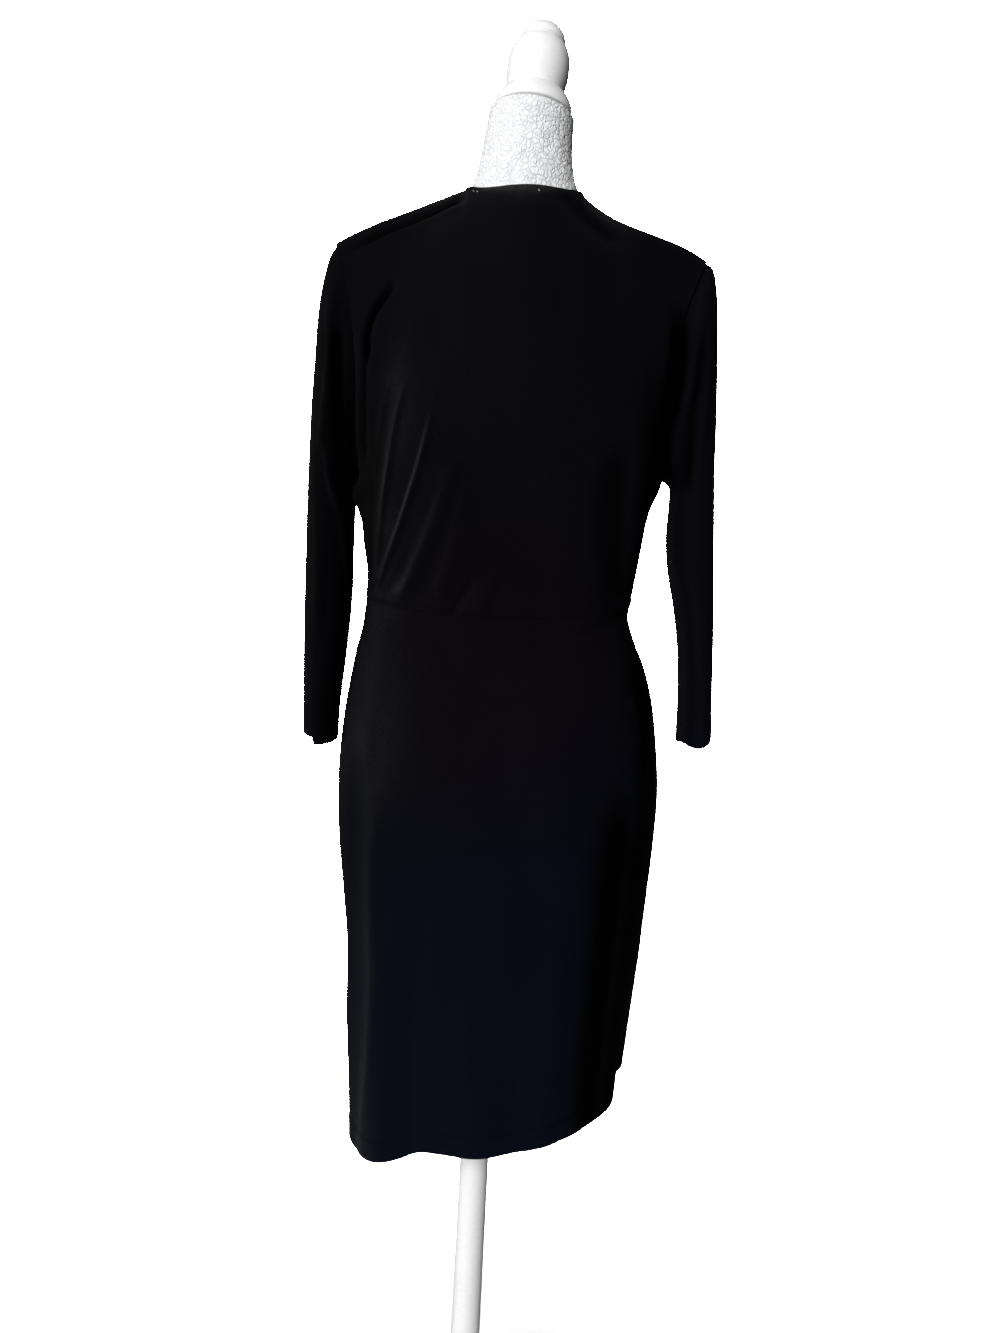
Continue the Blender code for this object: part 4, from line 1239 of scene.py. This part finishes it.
class Look(Nodes):
    """A Principled material.

    Its textures are placed by the object's own coordinates, in metres, and so are the heights
    of its bumps.
    """

    def __init__(self, name, roughness, **sockets):
        self.material = bpy.data.materials.new(name)
        self.material.use_nodes = True
        super().__init__(self.material.node_tree)
        self.shader = self.nodes["Principled BSDF"]
        for socket, value in {"Roughness": roughness, **sockets}.items():
            self.shader.inputs[socket.replace("_", " ")].default_value = value
        self.place = self.node("TexCoord").outputs["Object"]

    def give(self, value, socket):
        self.links.new(value, self.shader.inputs[socket])

    def noise(self, scale, detail=3.0, place=None):
        made = self.node("TexNoise", place or self.place, Scale=scale, Detail=detail)
        return made.outputs["Fac"]

    def wave(self, place, direction, scale, distortion=0.0):
        along = {"bands_direction": direction}
        return self.node("TexWave", place, scale, distortion, settings=along).outputs["Fac"]

    def attribute(self, name):
        return self.node("Attribute", settings={"attribute_name": name}).outputs["Fac"]

    def bump(self, height, distance):
        made = self.node("Bump", Height=height, Distance=distance, Strength=1.0)
        normal = self.shader.inputs["Normal"]
        if normal.is_linked:
            self.links.new(normal.links[0].from_socket, made.inputs["Normal"])
        self.give(made.outputs["Normal"], "Normal")


def black_jersey():
    """Fine matt knit: near black, a little blue low down and a little plum round the waist.

    It shines softly where it is drawn over the form, and hardly where it hangs limp. Painted
    shade darkens its hollows and the bands where it turns away into the dark.
    """
    look = Look("black_jersey", 0.6, Sheen_Weight=0.001, Sheen_Roughness=0.5, **DULL)
    x, _, z = look.node("SeparateXYZ", look.place).outputs
    colour = look.blend(look.ranged(z, *JERSEY_LOW_OVER), JERSEY_HIGH, JERSEY_LOW)
    from_waist = look.maths("ABSOLUTE", look.maths("SUBTRACT", z, PLUM_Z))
    plum = look.ranged(from_waist, *PLUM_OVER, 0, 1.6)
    plum = look.maths("MULTIPLY", plum, look.noise(6.0, 2.0))
    inside = look.ranged(look.maths("ABSOLUTE", x), *PLUM_INSIDE)
    plum = look.maths("MULTIPLY", plum, inside)
    colour = look.blend(plum, colour, JERSEY_PLUM)
    # Painted shade: hollows and shade bands darken the colour, and look rougher.
    crease = look.attribute("crease")
    colour = look.blend(crease, colour, JERSEY_PAINTED_SHADE)
    # Painted light and shade: the colour is scaled lighter towards the wearer's right.
    look.give(look.vector("SCALE", colour, Scale=look.ranged(x, *PAINTED_SIDE_SHADING)), "Base Color")
    limp = look.maths("MAXIMUM", look.attribute("limp"), crease)
    rough = look.ranged(look.noise(18.0), *MOTTLED, *JERSEY_ROUGH)
    look.give(look.maths("ADD", rough, look.maths("MULTIPLY", limp, LIMP_ROUGH)), "Roughness")
    cloth_map = look.node("UVMap", settings={"uv_map": "cloth"}).outputs["UV"]
    wales, courses = look.wave(cloth_map, "X", 0.42, 0.6), look.wave(cloth_map, "Y", 0.5, 0.6)
    look.bump(look.maths("ADD", wales, look.maths("MULTIPLY", courses, 0.5)), 0.00004)
    look.bump(look.noise(140.0), 0.00006)
    return look.material


def sewing_thread(name, dark, light):
    """Spun thread: its plies run slantwise along it."""
    look = Look(name, 0.8, **DULL)
    plies = look.wave(look.place, "DIAGONAL", 900.0)
    look.give(look.ramp(plies, (0.2, dark), (0.8, light)), "Base Color")
    look.bump(plies, 0.00005)
    look.bump(look.noise(2000.0), 0.00003)
    return look.material


def form_cover():
    """White crinkled paper cover: thin creases with painted grey shade in them, and a fine tooth.
    """
    look = Look("form_cover", 0.7)
    swirl = look.node("TexNoise", look.place, Scale=60.0, Detail=3.0).outputs["Color"]
    bent = look.vector("ADD", look.place, look.vector("SCALE", swirl, Scale=0.012))
    edges = {"feature": "DISTANCE_TO_EDGE"}
    cells = look.node("TexVoronoi", bent, Scale=190.0, settings=edges).outputs["Distance"]
    crease = look.ramp(cells, (0.0, (0, 0, 0)), (0.16, (1, 1, 1)))
    grey = look.ramp(look.noise(90.0, 6.0), *COVER_GREYS)
    flat = look.maths("MULTIPLY_ADD", crease, 0.5, 0.5)
    # Painted shade: the crease lines are painted grey.
    look.give(look.blend(flat, COVER_CREASE_SHADE, grey), "Base Color")
    look.bump(crease, 0.0006)
    look.bump(look.noise(320.0, 8.0), 0.0007)
    return look.material


def white_paint(name, roughness, grain):
    """Satin white paint over turned wood or metal, with faint brush marks and unevenness."""
    look = Look(name, roughness, Coat_Weight=0.15, Coat_Roughness=0.25)
    stretched = look.node("Mapping", look.place, Scale=PAINT_STRETCH).outputs["Vector"]
    marks = look.noise(grain, 4.0, stretched)
    look.give(look.ramp(marks, *PAINT_WHITES), "Base Color")
    rough = look.ranged(marks, *MOTTLED, roughness - PAINT_UNEVEN, roughness + PAINT_UNEVEN)
    look.give(rough, "Roughness")
    look.bump(marks, 0.00008)
    look.bump(look.noise(140.0, 4.0), 0.0001)
    return look.material


# --- studio ---


def build_studio():
    scene = bpy.context.scene
    for old in [o for o in bpy.data.objects if o.type in ("LIGHT", "CAMERA")]:
        bpy.data.objects.remove(old, do_unlink=True)
    camera = bpy.data.objects.new("camera", bpy.data.cameras.new("camera"))
    scene.collection.objects.link(camera)
    camera.data.lens = LENS
    camera.data.sensor_width = 36
    aim = Matrix.Rotation(math.pi, 4, "Z") @ Matrix.Rotation(math.pi / 2, 4, "X")
    roll = Matrix.Rotation(math.radians(CAMERA_ROLL), 4, "Z")
    camera.matrix_world = Matrix.Translation((0, CAMERA_Y * MM, CAMERA_Z * MM)) @ aim @ roll
    scene.camera = camera
    scene.view_settings.view_transform = "Standard"
    for light in LIGHTS:
        add_light(light)
    build_world(scene)
    build_floor()


def add_light(light):
    lamp = bpy.data.lights.new(light.name, "AREA")
    lamp.energy = light.power
    lamp.size = light.size
    made = bpy.data.objects.new(light.name, lamp)
    bpy.context.scene.collection.objects.link(made)
    made.location = light.place
    away = Vector(LIGHTS_AIM) - Vector(light.place)
    made.rotation_euler = away.to_track_quat("-Z", "Y").to_euler()
    made.visible_camera = False
    made.visible_glossy = light.shiny


def build_world(scene):
    """White behind everything, and a soft light that is stronger from the wearer's left."""
    world = scene.world = bpy.data.worlds.new("studio")
    world.use_nodes = True
    world.node_tree.nodes.clear()
    make = Nodes(world.node_tree)
    place = make.node("TexCoord").outputs["Generated"]
    x = make.node("SeparateXYZ", place).outputs["X"]
    white = (1, 1, 1, 1)
    soft, plain = (
        make.node("Background", white, strength).outputs[0]
        for strength in (make.ranged(x, -1, 1, *WORLD_SOFT), WORLD_BEHIND)
    )
    seen = make.node("LightPath").outputs["Is Camera Ray"]
    choice = make.node("MixShader", seen, soft, plain).outputs[0]
    make.node("OutputWorld", choice)


def build_floor():
    """A plain white floor whose edge fades into the white behind it."""
    bpy.ops.mesh.primitive_circle_add(
        vertices=128, radius=FLOOR_RADIUS, fill_type="NGON", location=(0, 0, FLOOR_Z)
    )
    floor = bpy.context.object
    floor.name = "floor"
    look = Look("floor_white", 0.8)
    far = look.vector("LENGTH", look.place)
    shown = look.ranged(far, *FLOOR_FADE, 1.0, 0.0, interpolation_type="SMOOTHSTEP")
    look.give(shown, "Alpha")
    seen = look.node("LightPath").outputs["Is Camera Ray"]
    look.give(look.blend(seen, FLOOR_LIT, FLOOR_SEEN), "Base Color")
    floor.data.materials.append(look.material)


fabric = Fabric(
    black_jersey(),
    sewing_thread("black_thread", (0.0006, 0.0006, 0.0012), (0.0016, 0.0016, 0.0032)),
    sewing_thread("white_thread", (0.45, 0.45, 0.45), (0.8, 0.8, 0.8)),
)
lacquer = white_paint("white_lacquer", 0.38, 12.0)
paint = white_paint("stand_paint", 0.42, 16.0)
build_bodice(fabric)
build_skirt(fabric)
build_sleeves(fabric)
build_form(form_cover())
build_cap(lacquer)
build_stand(paint)
build_studio()
